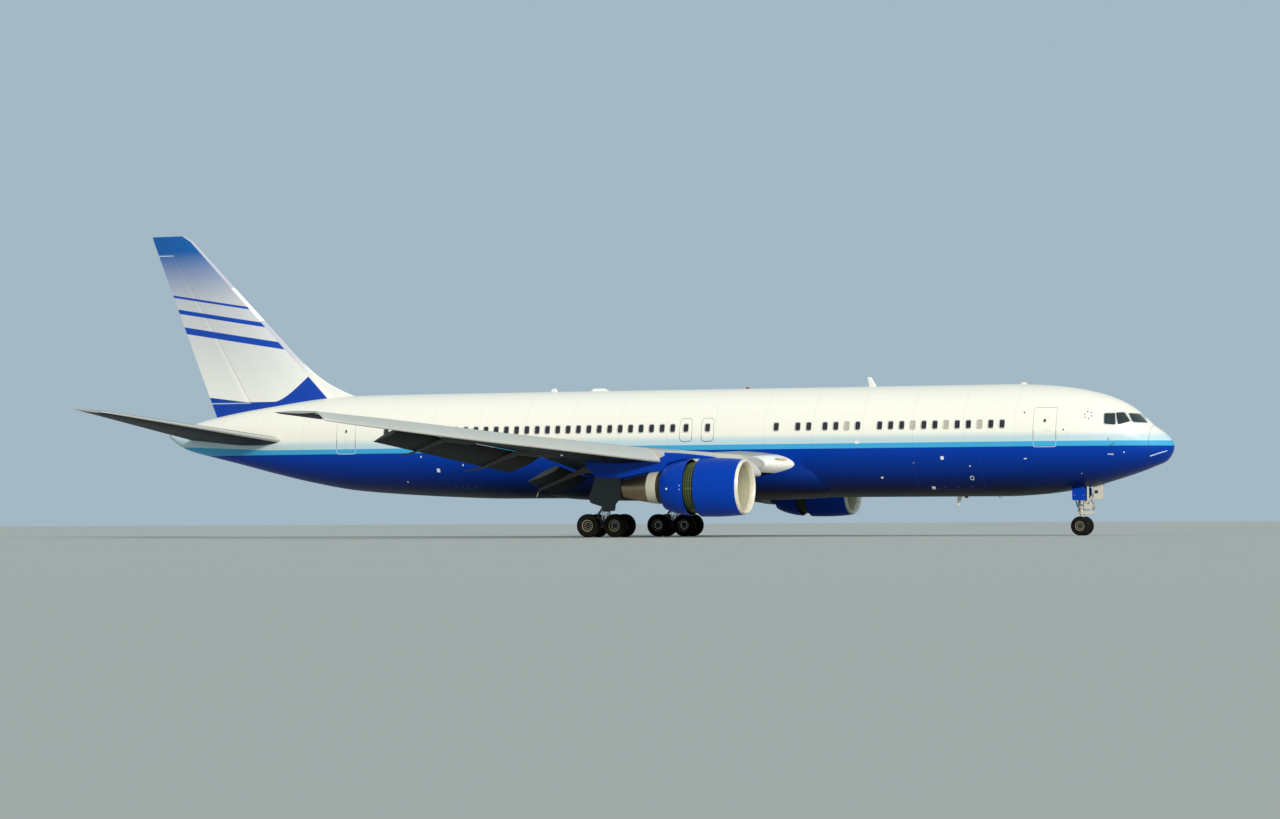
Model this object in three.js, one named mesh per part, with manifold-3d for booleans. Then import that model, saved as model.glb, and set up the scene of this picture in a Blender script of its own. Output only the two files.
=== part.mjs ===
// A wide body twin-engine airliner, parked on its gear with slats, flaps and reversers open, at 1:2.
// Every size below is in real metres: "aft" is measured back from the nose tip, "left" from the
// centre plane and "up" from the ground. The solids are in millimetres of the half-size model, with
// +X forward, +Y to the left and +Z up, and the origin on the ground under the middle of the length.
import * as THREE from "three";
import { mergeVertices } from "three/addons/utils/BufferGeometryUtils.js";
import Module from "manifold-3d";

const wasm = await Module();
wasm.setup();

const SCALE = 0.5; // model size over real size
const MM = 1000 * SCALE; // millimetres of model in one real metre
const LENGTH = 54.94; // nose tip to the fin's trailing tip
const SEAT = 0.35; // gap in millimetres of model between pieces that touch
const SEAT_M = SEAT / MM;
const RUNNING = 6; // gap in millimetres of model round a moving surface

// Fuselage stations, nose to tail: [aft, top, bottom, half width].
const STATIONS = [
  [0.0, 4.37, 4.15, 0.11],
  [0.12, 4.56, 3.83, 0.4],
  [0.38, 4.84, 3.52, 0.7],
  [0.9, 5.2, 3.3, 1.08],
  [1.25, 5.5, 3.16, 1.3],
  [1.7, 5.92, 3.0, 1.54],
  [2.3, 6.33, 2.81, 1.8],
  [2.9, 6.6, 2.63, 2.0],
  [3.6, 6.83, 2.43, 2.17],
  [4.9, 7.1, 2.18, 2.37],
  [6.3, 7.25, 2.0, 2.475],
  [8.2, 7.32, 1.905, 2.515],
  [34.5, 7.32, 1.95, 2.515],
  [37.8, 7.32, 2.06, 2.49],
  [40.6, 7.31, 2.22, 2.34],
  [43.0, 7.29, 2.42, 2.1],
  [45.3, 7.14, 2.8, 1.82],
  [47.5, 6.86, 3.28, 1.53],
  [49.7, 6.53, 3.82, 1.17],
  [51.4, 6.21, 4.22, 0.86],
  [52.6, 5.9, 4.52, 0.6],
  [53.3, 5.7, 4.82, 0.4],
  [53.8, 5.58, 5.18, 0.2],
];
const SIDE_SHARE = 0.07; // upright share of the fuselage section between its two round lobes
const LOBE_STEPS = 16; // facets round each lobe

// Fuselage sections as they are built: [node, front, back, colour].
const SECTIONS = [
  ["radome", 0.0, 0.9, 0xe9e7de],
  ["nose_section", 0.9, 4.95, 0xeceae2],
  ["forward_fuselage", 4.95, 16.9, 0xeceae2],
  ["centre_fuselage", 16.9, 29.9, 0xeceae2],
  ["aft_fuselage", 29.9, 44.2, 0xeceae2],
  ["tail_section", 44.2, 52.9, 0xe2e0d8],
  ["tail_cone", 52.9, 53.8, 0x8f8f8c],
];

// Belly fairing under the wing box: [aft, half width, bottom]; its top lies inside the fuselage.
const FAIRING = [
  [16.6, 1.6, 2.06],
  [17.6, 2.2, 1.9],
  [18.8, 2.5, 1.83],
  [21.0, 2.66, 1.8],
  [27.5, 2.66, 1.8],
  [29.4, 2.46, 1.83],
  [30.8, 2.1, 1.9],
  [32.0, 1.6, 2.04],
];
const FAIRING_TOP = 3.3;
const FAIRING_STEPS = 14;

// Wing sections: [left, leading edge aft, trailing edge aft, leading up, trailing up, thickness share].
const WING = [
  [1.7, 17.8, 29.3, 3.48, 3.05, 0.118],
  [2.45, 18.38, 29.3, 3.51, 3.14, 0.12],
  [3.2, 19.53, 29.3, 3.54, 3.24, 0.122],
  [8.3, 22.99, 29.37, 3.95, 4.0, 0.13],
  [14.0, 26.86, 31.74, 4.54, 4.78, 0.12],
  [20.5, 31.28, 34.43, 5.36, 5.47, 0.115],
  [23.4, 33.24, 35.64, 5.71, 5.74, 0.095],
  [23.785, 33.72, 35.72, 5.78, 5.8, 0.06],
];
// A cambered section and a symmetric one: [chord share, height as a share of the thickness],
// from the trailing edge over the top, round the nose and back below.
const CAMBERED = [
  [1, 0.03], [0.85, 0.2], [0.65, 0.4], [0.45, 0.5], [0.28, 0.5], [0.15, 0.42], [0.06, 0.29],
  [0.015, 0.15], [0, 0], [0.015, -0.13], [0.06, -0.25], [0.18, -0.39], [0.35, -0.46],
  [0.55, -0.38], [0.75, -0.18], [1, -0.03],
];
const SYMMETRIC = [
  [1, 0.03], [0.8, 0.2], [0.6, 0.38], [0.4, 0.49], [0.25, 0.48], [0.12, 0.37], [0.04, 0.22],
  [0, 0], [0.04, -0.22], [0.12, -0.37], [0.25, -0.48], [0.4, -0.49], [0.6, -0.38],
  [0.8, -0.2], [1, -0.03],
];

// Slats, out and drooped: [node, inner end, outer end, the places of their tracks].
const SLATS = [
  ["inboard_slat", 3.3, 6.65, [3.9, 6.1]],
  ["outboard_slat", 8.5, 23.4, [9.2, 13.5, 17.9, 22.3]],
];
// How large a slat is beside the wing's own nose: [left, share].
const SLAT_SIZES = [[3.3, 0.9], [8.5, 0.84], [14.0, 0.9], [20.5, 1.4], [23.4, 1.75]];
const SLAT_BAY = 0.12; // chord share taken out of the wing's nose behind a slat
const SLAT_END = 0.02; // how much longer that bay is than its slat, at each end
const SLAT_DROOP = THREE.MathUtils.degToRad(25);
const SLAT_FORWARD = 0.036;
const SLAT_DOWN = 0.008;
const SLAT_OUTLINE = [
  [0.15, 0.42], [0.1, 0.37], [0.05, 0.27], [0.015, 0.15], [0, 0], [0.012, -0.12], [0.045, -0.25],
  [0.05, -0.22], [0.035, -0.02], [0.07, 0.17],
];
const TRACK_WIDTH = 0.12;

// Flaps, down: [node, then per end: left, nose aft, nose up, tail aft, tail up], inner end first.
const FLAPS = [
  ["inboard_flap", [2.95, 29.02, 2.92, 30.75, 2.1], [6.4, 29.05, 3.47, 30.72, 2.73]],
  ["outboard_flap", [8.55, 29.2, 3.88, 30.78, 3.16], [17.1, 32.78, 5.02, 33.95, 4.55]],
];
const FLAP_BAY = 0.93; // chord share where the fixed wing ends above a flap
const FLAP_THICKNESS = 0.13;
const FLAP_BAYS = [[2.9, 6.45], [8.52, 17.16]]; // inner and outer end of each bay

// Flap track fairings: [left, front aft, tail tip aft, tail tip up, half width, depth under the wing].
const CANOES = [
  [4.9, 25.6, 30.95, 2.02, 0.24, 0.42],
  [10.3, 27.4, 32.2, 3.3, 0.2, 0.36],
  [14.6, 29.6, 33.95, 3.98, 0.17, 0.32],
];

// Ailerons: [node, inner end, outer end, hinge's chord share, gap at each end in millimetres].
const AILERONS = [
  ["inboard_aileron", 6.75, 8.3, 0.8, 36, 32],
  ["outboard_aileron", 17.35, 21.4, 0.76, 14, 38],
];
const AILERON_SWING = THREE.MathUtils.degToRad(20);
const SOCKET_FROM = 0.5; // chord share ahead of which no hinge socket is cut
const WING_PAD = { left: 10.9, aft: 27.0, radius: 0.09, drop: 0.06 };

// Fin sections: [up, leading edge aft, trailing edge aft, thickness].
const FIN = [
  [5.9, 43.0, 50.98, 0.8],
  [10.5, 47.57, 52.83, 0.52],
  [15.5, 52.53, 54.83, 0.23],
  [15.82, 53.05, 54.94, 0.13],
];
const DORSAL = [
  [42.95, 7.18], [43.73, 7.53], [44.59, 7.9], [45.8, 8.68], [47.2, 8.6], [47.2, 6.6], [43.2, 6.7],
];
const DORSAL_HALF = 0.11;
const FIN_BEHIND = 57; // aft of everything on the fin
// The rudder's ends, its hinge line, and the gaps at its ends in millimetres.
const RUDDER = {
  low: 7.05, high: 14.72, hingeLow: 49.21, hingeHigh: 53.66, gapLow: 38, gapHigh: 60,
  swing: THREE.MathUtils.degToRad(26),
};

// Tailplane sections: [left, leading edge aft, trailing edge aft, leading up, trailing up, thickness].
const TAILPLANE = [
  [0.5, 45.7, 52.25, 4.82, 5.08, 0.62],
  [1.5, 46.48, 52.5, 4.99, 5.25, 0.58],
  [8.95, 52.3, 54.33, 6.31, 6.5, 0.2],
  [9.31, 52.75, 54.42, 6.38, 6.56, 0.12],
];
const ELEVATOR = {
  inner: 1.75, outer: 8.85, hinge: 0.7, gapInner: 76, gapOuter: 50,
  swing: THREE.MathUtils.degToRad(28),
};

// Engines: centre line, then the profile of each ring as [aft, radius] in real metres.
const ENGINE = { left: 7.92, up: 2.38 };
const ENGINE_FACETS = 28;
const FAN_COWL = [
  [18.75, 1.235], [18.82, 1.29], [19.1, 1.34], [19.6, 1.38], [20.3, 1.4], [20.99, 1.395],
  [20.99, 1.15], [20.4, 1.2], [19.75, 1.2], [19.3, 1.13], [19.0, 1.13], [18.8, 1.18],
];
const COWL_OUTSIDE = 6; // how many of those points lie on the outside
const DUCT_BACK = 6; // the first point of the duct's wall
const CASCADE = { front: 20.99, back: 21.54, outerFront: 1.29, outerBack: 1.175, inner: 1.12, rows: 4 };
const CASCADE_GROOVE = 0.03;
const SLEEVE = [
  [21.54, 1.355], [21.95, 1.305], [22.4, 1.2], [22.79, 1.05], [22.79, 1.015], [22.4, 1.05],
  [21.54, 1.08], [21.54, 1.11], [22.13, 1.11], [22.13, 1.225], [21.54, 1.32],
];
// Rails along the cascades' sides, and the slots in the sleeve's tail that let them in.
const SLEEVE_RAIL = { inner: 1.111, outer: 1.135, back: 21.69, half: 0.07 };
const RAIL_SLOT = { inner: 1.109, outer: 1.138, front: 22.01, back: 22.26, half: 0.074 };
const CORE_BACK = 23.64; // where the exhaust nozzle starts
const CORE = [
  [20.45, 0], [20.45, 0.4], [20.7, 0.55], [21.3, 0.74], [22.1, 0.79], [23.0, 0.765], [CORE_BACK, 0.73],
  [CORE_BACK, 0.34], [24.2, 0.32], [24.85, 0.16], [25.1, 0],
];
const CORE_OUTSIDE = 7; // how many of those points lead up to the core's back
// Struts from the core to the cowl, drawn past the duct's wall and trimmed to it.
const CORE_VANES = { count: 8, front: 20.6, back: 20.95, inner: 0.45, outer: 1.32, half: 0.03 };
const NOZZLE = [
  [CORE_BACK + SEAT_M, 0.71], [24.15, 0.64], [24.97, 0.46], [24.97, 0.435], [24.15, 0.6],
  [CORE_BACK + SEAT_M, 0.62],
];
const NOZZLE_OUTSIDE = 3;
// The phase turns the blades, in shares of their pitch, so that none meets an edge of the hub.
const FAN = { front: 19.95, back: CORE[0][0] - SEAT_M, blades: 18, phase: 0.25 };
const BLADE = [[0.3, 0.15], [1.17, 0.2]]; // a fan blade's root and tip: [radius, half chord]
const BLADE_PITCH = THREE.MathUtils.degToRad(50);
const BLADE_HALF = 0.015;
const FAN_HUB = [[19.6, 0], [19.68, 0.12], [19.9, 0.33], [20.0, 0.37], [FAN.back, 0.37], [FAN.back, 0]];
// Pylon outline, [aft, up], cut back to the cowl, the core and the wing.
const PYLON = [
  [20.0, 3.5], [20.2, 3.78], [20.65, 3.87], [21.75, 4.0], [22.9, 4.06], [23.6, 4.2], [26.6, 4.0],
  [27.0, 3.5], [26.3, 2.84], [25.2, 2.82], [23.4, 3.0], [22.7, 3.0], [22.6, 3.1], [20.8, 3.1],
];
const PYLON_HALF = 0.2;
// Room in the pylon for the sleeve to slide in: [aft, radius].
const SLEEVE_ROOM = [[21.54, 1.367], [21.95, 1.33], [22.4, 1.235], [22.81, 1.1]];

// Gear: tyre radius is also the height of the axle.
const NOSE_GEAR = {
  aft: 4.53, tyre: 0.46, width: 0.34, spacing: 0.62, axle: 0.055, piston: 0.075, cylinder: 0.125,
  cylinderLow: 0.98, top: 2.24, lugAft: 4.2, lugHalf: 0.06, boss: 0.1, bossReach: 0.09,
};
// Struts on the centre plane, [aft of the leg, up, aft of the leg, up, radius]: on the fixed leg
// the drag brace and the steering collar, on the steered leg the collar and the torque links.
const NOSE_LEG_STRUTS = [[0, 1.35, -1.15, 2.6, 0.06], [0, 1.3, 0, 1.5, 0.17]];
// Its lamps, and the panel of the drag brace above them: [front aft, back aft, low, high, half width].
const NOSE_LEG_BLOCKS = [[3.92, 4.4, 1.22, 1.48, 0.2], [3.48, 3.93, 1.8, 2.6, 0.16]];
const NOSE_STEERED_STRUTS = [
  [0, 0.88, 0, 0.98, 0.11], [0.05, 0.6, 0.36, 0.75, 0.035], [0.36, 0.75, 0.05, 0.92, 0.035],
];
const MAIN_GEAR = {
  aft: 27.287, left: 4.65, tyre: 0.57, width: 0.44, spacing: 1.14, base: 1.42, axle: 0.075,
  boss: 0.15, bossReach: 0.2,
};
// Rods of a main leg, [from, to, radius], each point as [aft, outboard, up] from the leg's foot:
// the bogie beam, piston, cylinder, both torque links, side brace and drag brace.
const MAIN_LEG_STRUTS = [
  [[-0.71, 0, 0.57], [0.71, 0, 0.57], 0.14],
  [[0, 0, 0.57], [0, 0, 1.3], 0.13],
  [[0, 0, 1.25], [0, 0, 3.7], 0.19],
  [[0.1, 0, 0.72], [0.5, 0, 1.05], 0.05],
  [[0.5, 0, 1.05], [0.1, 0, 1.45], 0.05],
  [[0, 0, 1.7], [0.1, -2.1, 2.75], 0.075],
  [[0, 0, 1.6], [-1.6, -0.1, 3.5], 0.075],
];
const WHEEL_FACETS = 20;
// Half of a wheel's section: [share of the half width, share of the tyre's radius].
const WHEEL = [
  [0.3, 0], [0.35, 0.45], [0.92, 0.56], [1, 0.8], [0.6, 1],
];
// Nose gear doors: [front aft, back aft, top, bottom, left of the centre plane].
const NOSE_DOORS = { front: 4.2, back: 4.88, top: 2.6, bottom: 1.68, left: 0.52, half: 0.02, chamfer: 0.06 };
// Main leg door outline, [aft, up], hung outboard of the leg.
const LEG_DOOR = [
  [26.36, 3.0], [27.7, 3.0], [28.08, 1.9], [27.98, 1.68], [27.33, 1.48], [27.28, 1.28], [26.69, 1.28],
  [26.64, 1.62], [26.38, 1.9],
];
const LEG_DOOR_LEFT = 5.0;
const DOOR_HALF = 0.02;
const LEG_DOOR_ARMS = [1.62, 2.4]; // heights of the arms that carry it off the leg
const NOSE_PAD = { aft: 8.6, radius: 0.09, drop: 0.06 };

const BLUE = 0x123f9c;
const SKIN = 0xb9bab6;
const DARK = 0x4a4a46;
const RUBBER = 0x1c1c1d;
const FIN_PAINT = 0xd8dadb;
const GEAR_PAINT = 0xdad6cc;
const DOOR_GREY = 0x55605f;
const CASCADE_GREEN = 0x6d7a45;
const NOZZLE_BROWN = 0x7d7264;
const FAN_GREY = 0x8d8f92;
const BARE_METAL = 0xc9c7c0;

const place = (aft, left, up) => new THREE.Vector3((LENGTH / 2 - aft) * MM, left * MM, up * MM);
const lerp = THREE.MathUtils.lerp;

// A geometry as a solid whose faces point out.
function solid(geometry) {
  const bare = new THREE.BufferGeometry();
  bare.setAttribute("position", geometry.getAttribute("position").clone());
  if (geometry.index) bare.setIndex(geometry.index.clone());
  const merged = mergeVertices(bare, 1e-3);
  const { array: points } = merged.getAttribute("position");
  const corner = (i) => new THREE.Vector3().fromArray(points, 3 * i);
  const faces = [];
  let volume = 0;
  for (let i = 0; i < merged.index.count; i += 3) {
    const [a, b, c] = [0, 1, 2].map((k) => merged.index.getX(i + k));
    if (a === b || b === c || c === a) continue;
    faces.push([a, b, c]);
    volume += corner(a).dot(corner(b).cross(corner(c)));
  }
  const triVerts = new Uint32Array(faces.map((f) => (volume < 0 ? f.reverse() : f)).flat());
  return new wasm.Manifold(
    new wasm.Mesh({ numProp: 3, vertProperties: new Float32Array(points), triVerts }),
  );
}

function geometryOf(made) {
  const mesh = made.getMesh();
  const geometry = new THREE.BufferGeometry();
  geometry.setAttribute("position", new THREE.BufferAttribute(mesh.vertProperties, 3));
  geometry.setIndex(new THREE.BufferAttribute(mesh.triVerts, 1));
  const faceted = geometry.toNonIndexed();
  faceted.computeVertexNormals();
  return faceted;
}

const root = new THREE.Group();

function addMesh(name, shape, colour, parent = root) {
  const geometry = shape.isBufferGeometry ? shape : geometryOf(shape);
  const metal = colour === RUBBER ? 0 : 0.4;
  const material = new THREE.MeshStandardMaterial({ color: colour, roughness: 0.45, metalness: metal });
  const mesh = new THREE.Mesh(geometry, material);
  mesh.name = name;
  parent.add(mesh);
  return mesh;
}

// Newell's normal of a ring of points.
function ringNormal(ring) {
  const normal = new THREE.Vector3();
  ring.forEach((p, i) => normal.add(p.clone().cross(ring[(i + 1) % ring.length])));
  return normal.normalize();
}

// Triangles that close one end ring, turning the same way round as the ring.
function capFaces(ring) {
  const normal = ringNormal(ring);
  const across = ring[1].clone().sub(ring[0]).projectOnPlane(normal).normalize();
  const along = normal.clone().cross(across);
  const flat = ring.map((p) => new THREE.Vector2(p.dot(across), p.dot(along)));
  return THREE.ShapeUtils.triangulateShape(flat, []).map(([a, b, c]) => {
    const turn = flat[b].clone().sub(flat[a]).cross(flat[c].clone().sub(flat[a]));
    return turn < 0 ? [a, c, b] : [a, b, c];
  });
}

// A closed solid through rings that all have the same number of points.
function loft(rings) {
  const count = rings[0].length;
  const faces = [];
  for (let r = 0; r + 1 < rings.length; r++)
    for (let i = 0; i < count; i++) {
      const [a, b] = [r * count + i, r * count + ((i + 1) % count)];
      faces.push([a, b, b + count], [a, b + count, a + count]);
    }
  const last = (rings.length - 1) * count;
  for (const [a, b, c] of capFaces(rings[0])) faces.push([a, c, b]);
  for (const face of capFaces(rings.at(-1))) faces.push(face.map((i) => i + last));
  const geometry = new THREE.BufferGeometry().setFromPoints(rings.flat());
  geometry.setIndex(faces.flat());
  return solid(geometry);
}

// A tapered rod between two points.
function rod(from, to, startRadius, endRadius = startRadius, facets = 12) {
  const way = to.clone().sub(from);
  const geometry = new THREE.CylinderGeometry(endRadius, startRadius, way.length(), facets);
  const turn = new THREE.Quaternion().setFromUnitVectors(
    new THREE.Vector3(0, 1, 0),
    way.clone().normalize(),
  );
  geometry.applyQuaternion(turn);
  geometry.translate(...from.clone().add(to).multiplyScalar(0.5).toArray());
  return solid(geometry);
}

function box(low, high) {
  const size = high.clone().sub(low);
  const middle = low.clone().add(high).multiplyScalar(0.5);
  const edges = size.toArray().map(Math.abs);
  return solid(new THREE.BoxGeometry(...edges).translate(...middle.toArray()));
}

// An outline in [aft, up] pairs, extruded across from one left value to another.
function sidePlate(outline, fromLeft, toLeft) {
  return loft([fromLeft, toLeft].map((left) => outline.map(([aft, up]) => place(aft, left, up))));
}

// An outline in [aft, left] pairs, extruded from one height to another.
function planPlate(outline, fromUp, toUp) {
  return loft([fromUp, toUp].map((up) => outline.map(([aft, left]) => place(aft, left, up))));
}

const joined = (solids) => solids.reduce((all, one) => all.add(one));

// The solid less the tool, with a seat gap between them along the axes that are named.
function seatedOn(made, tool, shifts) {
  return shifts.reduce(
    (rest, shift) => rest.subtract(tool.translate(shift.map((s) => s * SEAT))),
    made.subtract(tool),
  );
}

const rowAt = (table, key) => {
  const next = Math.min(Math.max(table.findIndex((row) => row[0] >= key), 1), table.length - 1);
  const [low, high] = [table[next - 1], table[next]];
  const share = (key - low[0]) / (high[0] - low[0]);
  return low.map((value, i) => (i === 0 ? key : lerp(value, high[i], share)));
};

// Fuselage: two half-ellipse lobes with a short upright side between them.
function bodyRing([aft, top, bottom, half], grow = 0) {
  const centre = (top + bottom) / 2;
  const height = top - bottom;
  const side = (height * SIDE_SHARE) / 2;
  const [wide, tall] = [half + grow, height / 2 - side + grow];
  const ring = [];
  for (const sign of [1, -1])
    for (let i = 0; i <= LOBE_STEPS; i++) {
      const angle = (Math.PI * i) / LOBE_STEPS;
      const left = sign * wide * Math.cos(angle);
      ring.push(place(aft, left, centre + sign * (side + tall * Math.sin(angle))));
    }
  return ring;
}

function bodyLoft(front, back, grow = 0) {
  const between = STATIONS.filter(([aft]) => aft > front && aft < back);
  const rows = [rowAt(STATIONS, front), ...between, rowAt(STATIONS, back)];
  return loft(rows.map((row) => bodyRing(row, grow)));
}

const halfSeat = SEAT_M / 2;
const noseEnd = SECTIONS[0][1];
const tailEnd = SECTIONS.at(-1)[2];
const body = {};
for (const [node, front, back] of SECTIONS) {
  const from = front === noseEnd ? front : front + halfSeat;
  const to = back === tailEnd ? back : back - halfSeat;
  body[node] = bodyLoft(from, to);
}
// The same body a seat gap larger, to trim what stands on it.
const wingBody = bodyLoft(15, 33, SEAT_M);
const tailBody = bodyLoft(40, tailEnd, SEAT_M);
const noseBody = bodyLoft(2.5, 12, SEAT_M);

function fairingRing([aft, half, bottom]) {
  const ring = [];
  for (let i = 0; i <= FAIRING_STEPS; i++) {
    const angle = (Math.PI * i) / FAIRING_STEPS;
    const [cos, sin] = [Math.cos(angle), Math.sin(angle)];
    const square = Math.sign(cos) * Math.abs(cos) ** 0.75;
    ring.push(place(aft, half * square, FAIRING_TOP - (FAIRING_TOP - bottom) * sin ** 0.8));
  }
  return ring;
}
const fairingWhole = loft(FAIRING.map(fairingRing));
const fairing = fairingWhole.subtract(wingBody);

// One section of a wing, tailplane or fin between its nose and its tail.
function foilRing(outline, lead, trail, thickness, normal) {
  return outline.map(([share, height]) =>
    lead.clone().lerp(trail, share).addScaledVector(normal, height * thickness * MM),
  );
}
const UP = new THREE.Vector3(0, 0, 1);
const LEFT = new THREE.Vector3(0, 1, 0);

function wingRow(side, left) {
  const [, leadAft, trailAft, leadUp, trailUp, share] = rowAt(WING, left);
  return {
    lead: place(leadAft, side * left, leadUp),
    trail: place(trailAft, side * left, trailUp),
    thickness: share * (trailAft - leadAft),
  };
}

// Height of a section's outline above its chord line, as a share of the thickness.
function heightAt(outline, share, upper) {
  const noseAt = outline.findIndex(([s]) => s === 0);
  const half = upper ? outline.slice(0, noseAt + 1).reverse() : outline.slice(noseAt);
  return rowAt(half, share)[1];
}

// A point of the wing's skin, in model millimetres.
function skinPoint(side, left, share, upper = false) {
  const { lead, trail, thickness } = wingRow(side, left);
  const height = heightAt(CAMBERED, share, upper);
  return lead.clone().lerp(trail, share).addScaledVector(UP, height * thickness * MM);
}

// Spans of the wing's sections between two others, with those two.
const stopsBetween = (inner, outer) => [
  inner, ...WING.map(([left]) => left).filter((left) => left > inner && left < outer), outer,
];

// A block that holds a stretch of the wing's chord between two spans, run past the edge it reaches.
function chordBay(side, inner, outer, fromShare, toShare, margin) {
  const edge = (left, share) => {
    const { lead, trail } = wingRow(side, left);
    const past = share === 1 ? -margin : share === 0 ? margin : 0;
    return [LENGTH / 2 - lead.clone().lerp(trail, share).x / MM - past, side * left];
  };
  const stops = stopsBetween(inner, outer);
  const front = stops.map((left) => edge(left, fromShare));
  const back = stops.map((left) => edge(left, toShare)).reverse();
  return planPlate([...front, ...back], 1.5, 7.5);
}

// A moving surface: a round nose about its hinge line, tapered to a thin tail.
function flapper(ends, normal) {
  const rings = ends.map(({ hinge, trail, half }) => {
    const back = trail.clone().sub(hinge).normalize();
    const ring = [];
    for (let i = 0; i <= 6; i++) {
      const angle = (Math.PI * i) / 6;
      const point = hinge.clone().addScaledVector(back, -half * Math.sin(angle));
      ring.push(point.addScaledVector(normal, half * Math.cos(angle)));
    }
    const edge = 0.012 * MM;
    ring.push(trail.clone().addScaledVector(normal, -edge), trail.clone().addScaledVector(normal, edge));
    return ring;
  });
  return loft(rings);
}

const PIN = 9; // hinge pin radius, millimetres of model
const PIN_FACETS = 12;
const PIN_HOLE = (PIN + 0.4) / Math.cos(Math.PI / PIN_FACETS);
const PIN_GRIP = 40; // how far a pin runs into the fixed piece, past the gap at its end
const PIN_PLAY = 1; // how much deeper its hole is
const SOCKET_FACETS = 24;
const SOCKET_PAST = 250; // how far a hinge's socket is drawn past its ends before it is trimmed

// A moving surface with its pins, and the fixed piece cut round it. The skin behind the hinge
// swings forward of it, so the socket has to be wider than the surface is thick.
function hingedOn(fixed, ends, normal, { bay, span, gaps, swing }) {
  const [a, b] = ends.map((end) => end.hinge);
  const way = b.clone().sub(a).normalize();
  const beyond = (point, distance) => point.clone().addScaledVector(way, distance);
  const [startRadius, endRadius] = ends.map(
    ({ half }) => (half / Math.cos(swing) + RUNNING) / Math.cos(Math.PI / SOCKET_FACETS),
  );
  const past = SOCKET_PAST / b.distanceTo(a);
  const socket = rod(
    beyond(a, -SOCKET_PAST), beyond(b, SOCKET_PAST),
    lerp(startRadius, endRadius, -past), lerp(endRadius, startRadius, -past), SOCKET_FACETS,
  );
  const [startReach, endReach] = gaps.map((gap) => gap + PIN_GRIP);
  const hole = rod(
    beyond(a, -startReach - PIN_PLAY), beyond(b, endReach + PIN_PLAY), PIN_HOLE, PIN_HOLE, PIN_FACETS,
  );
  const pin = rod(beyond(a, -startReach), beyond(b, endReach), PIN, PIN, PIN_FACETS);
  return {
    cut: fixed.subtract(bay).subtract(socket.intersect(span)).subtract(hole),
    moving: flapper(ends, normal).add(pin),
  };
}

// The largest of the bodies that a solid falls into: trimming can leave slivers beside it.
const largest = (made) => made.decompose().sort((p, q) => q.volume() - p.volume())[0];

const sideName = (side) => (side > 0 ? "left" : "right");

function wingSide(side) {
  const rings = WING.map(([left]) => {
    const { lead, trail, thickness } = wingRow(side, left);
    return foilRing(CAMBERED, lead, trail, thickness, UP);
  });
  const name = sideName(side);
  let wing = loft(rings);
  for (const [, inner, outer] of SLATS)
    wing = wing.subtract(chordBay(side, inner - SLAT_END, outer + SLAT_END, 0, SLAT_BAY, 1));
  for (const [inner, outer] of FLAP_BAYS)
    wing = wing.subtract(chordBay(side, inner, outer, FLAP_BAY, 1, 1));

  const moving = {};
  for (const [node, inner, outer, share, ...gaps] of AILERONS) {
    const ends = [inner, outer].map((left) => {
      const { lead, trail, thickness } = wingRow(side, left);
      const upper = heightAt(CAMBERED, share, true) * thickness * MM;
      const lower = heightAt(CAMBERED, share, false) * thickness * MM;
      const hinge = lead.clone().lerp(trail, share).addScaledVector(UP, (upper + lower) / 2);
      return { hinge, trail, half: (upper - lower) / 2 };
    });
    const stretch = [inner - gaps[0] / MM, outer + gaps[1] / MM];
    const span = chordBay(side, ...stretch, SOCKET_FROM, 1, 1);
    const bay = chordBay(side, ...stretch, share, 1, 1);
    const made = hingedOn(wing, ends, UP, { bay, span, gaps, swing: AILERON_SWING });
    wing = made.cut;
    moving[node] = made.moving;
  }

  for (const [left, frontAft, , , half, depth] of CANOES)
    wing = wing.add(canoeFront(side, left, frontAft, half, depth));
  wing = largest(clearOfBody(wing.add(jackPad(side)), side));
  addMesh(`${name}_wing`, wing, SKIN);
  for (const [node, surface] of Object.entries(moving)) addMesh(`${name}_${node}`, surface, SKIN);
  for (const [node, inner, outer, tracks] of SLATS)
    addMesh(`${name}_${node}`, slat(side, inner, outer, tracks), BARE_METAL);
  for (const [node, innerEnd, outerEnd] of FLAPS)
    addMesh(`${name}_${node}`, flap(side, innerEnd, outerEnd), DARK);
  return wing;
}

// A piece at the wing's root, cut back to a seat gap off the fuselage and its belly fairing.
function clearOfBody(made, side) {
  return seatedOn(made.subtract(wingBody), fairingWhole, [[0, side, -1]]);
}

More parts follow.
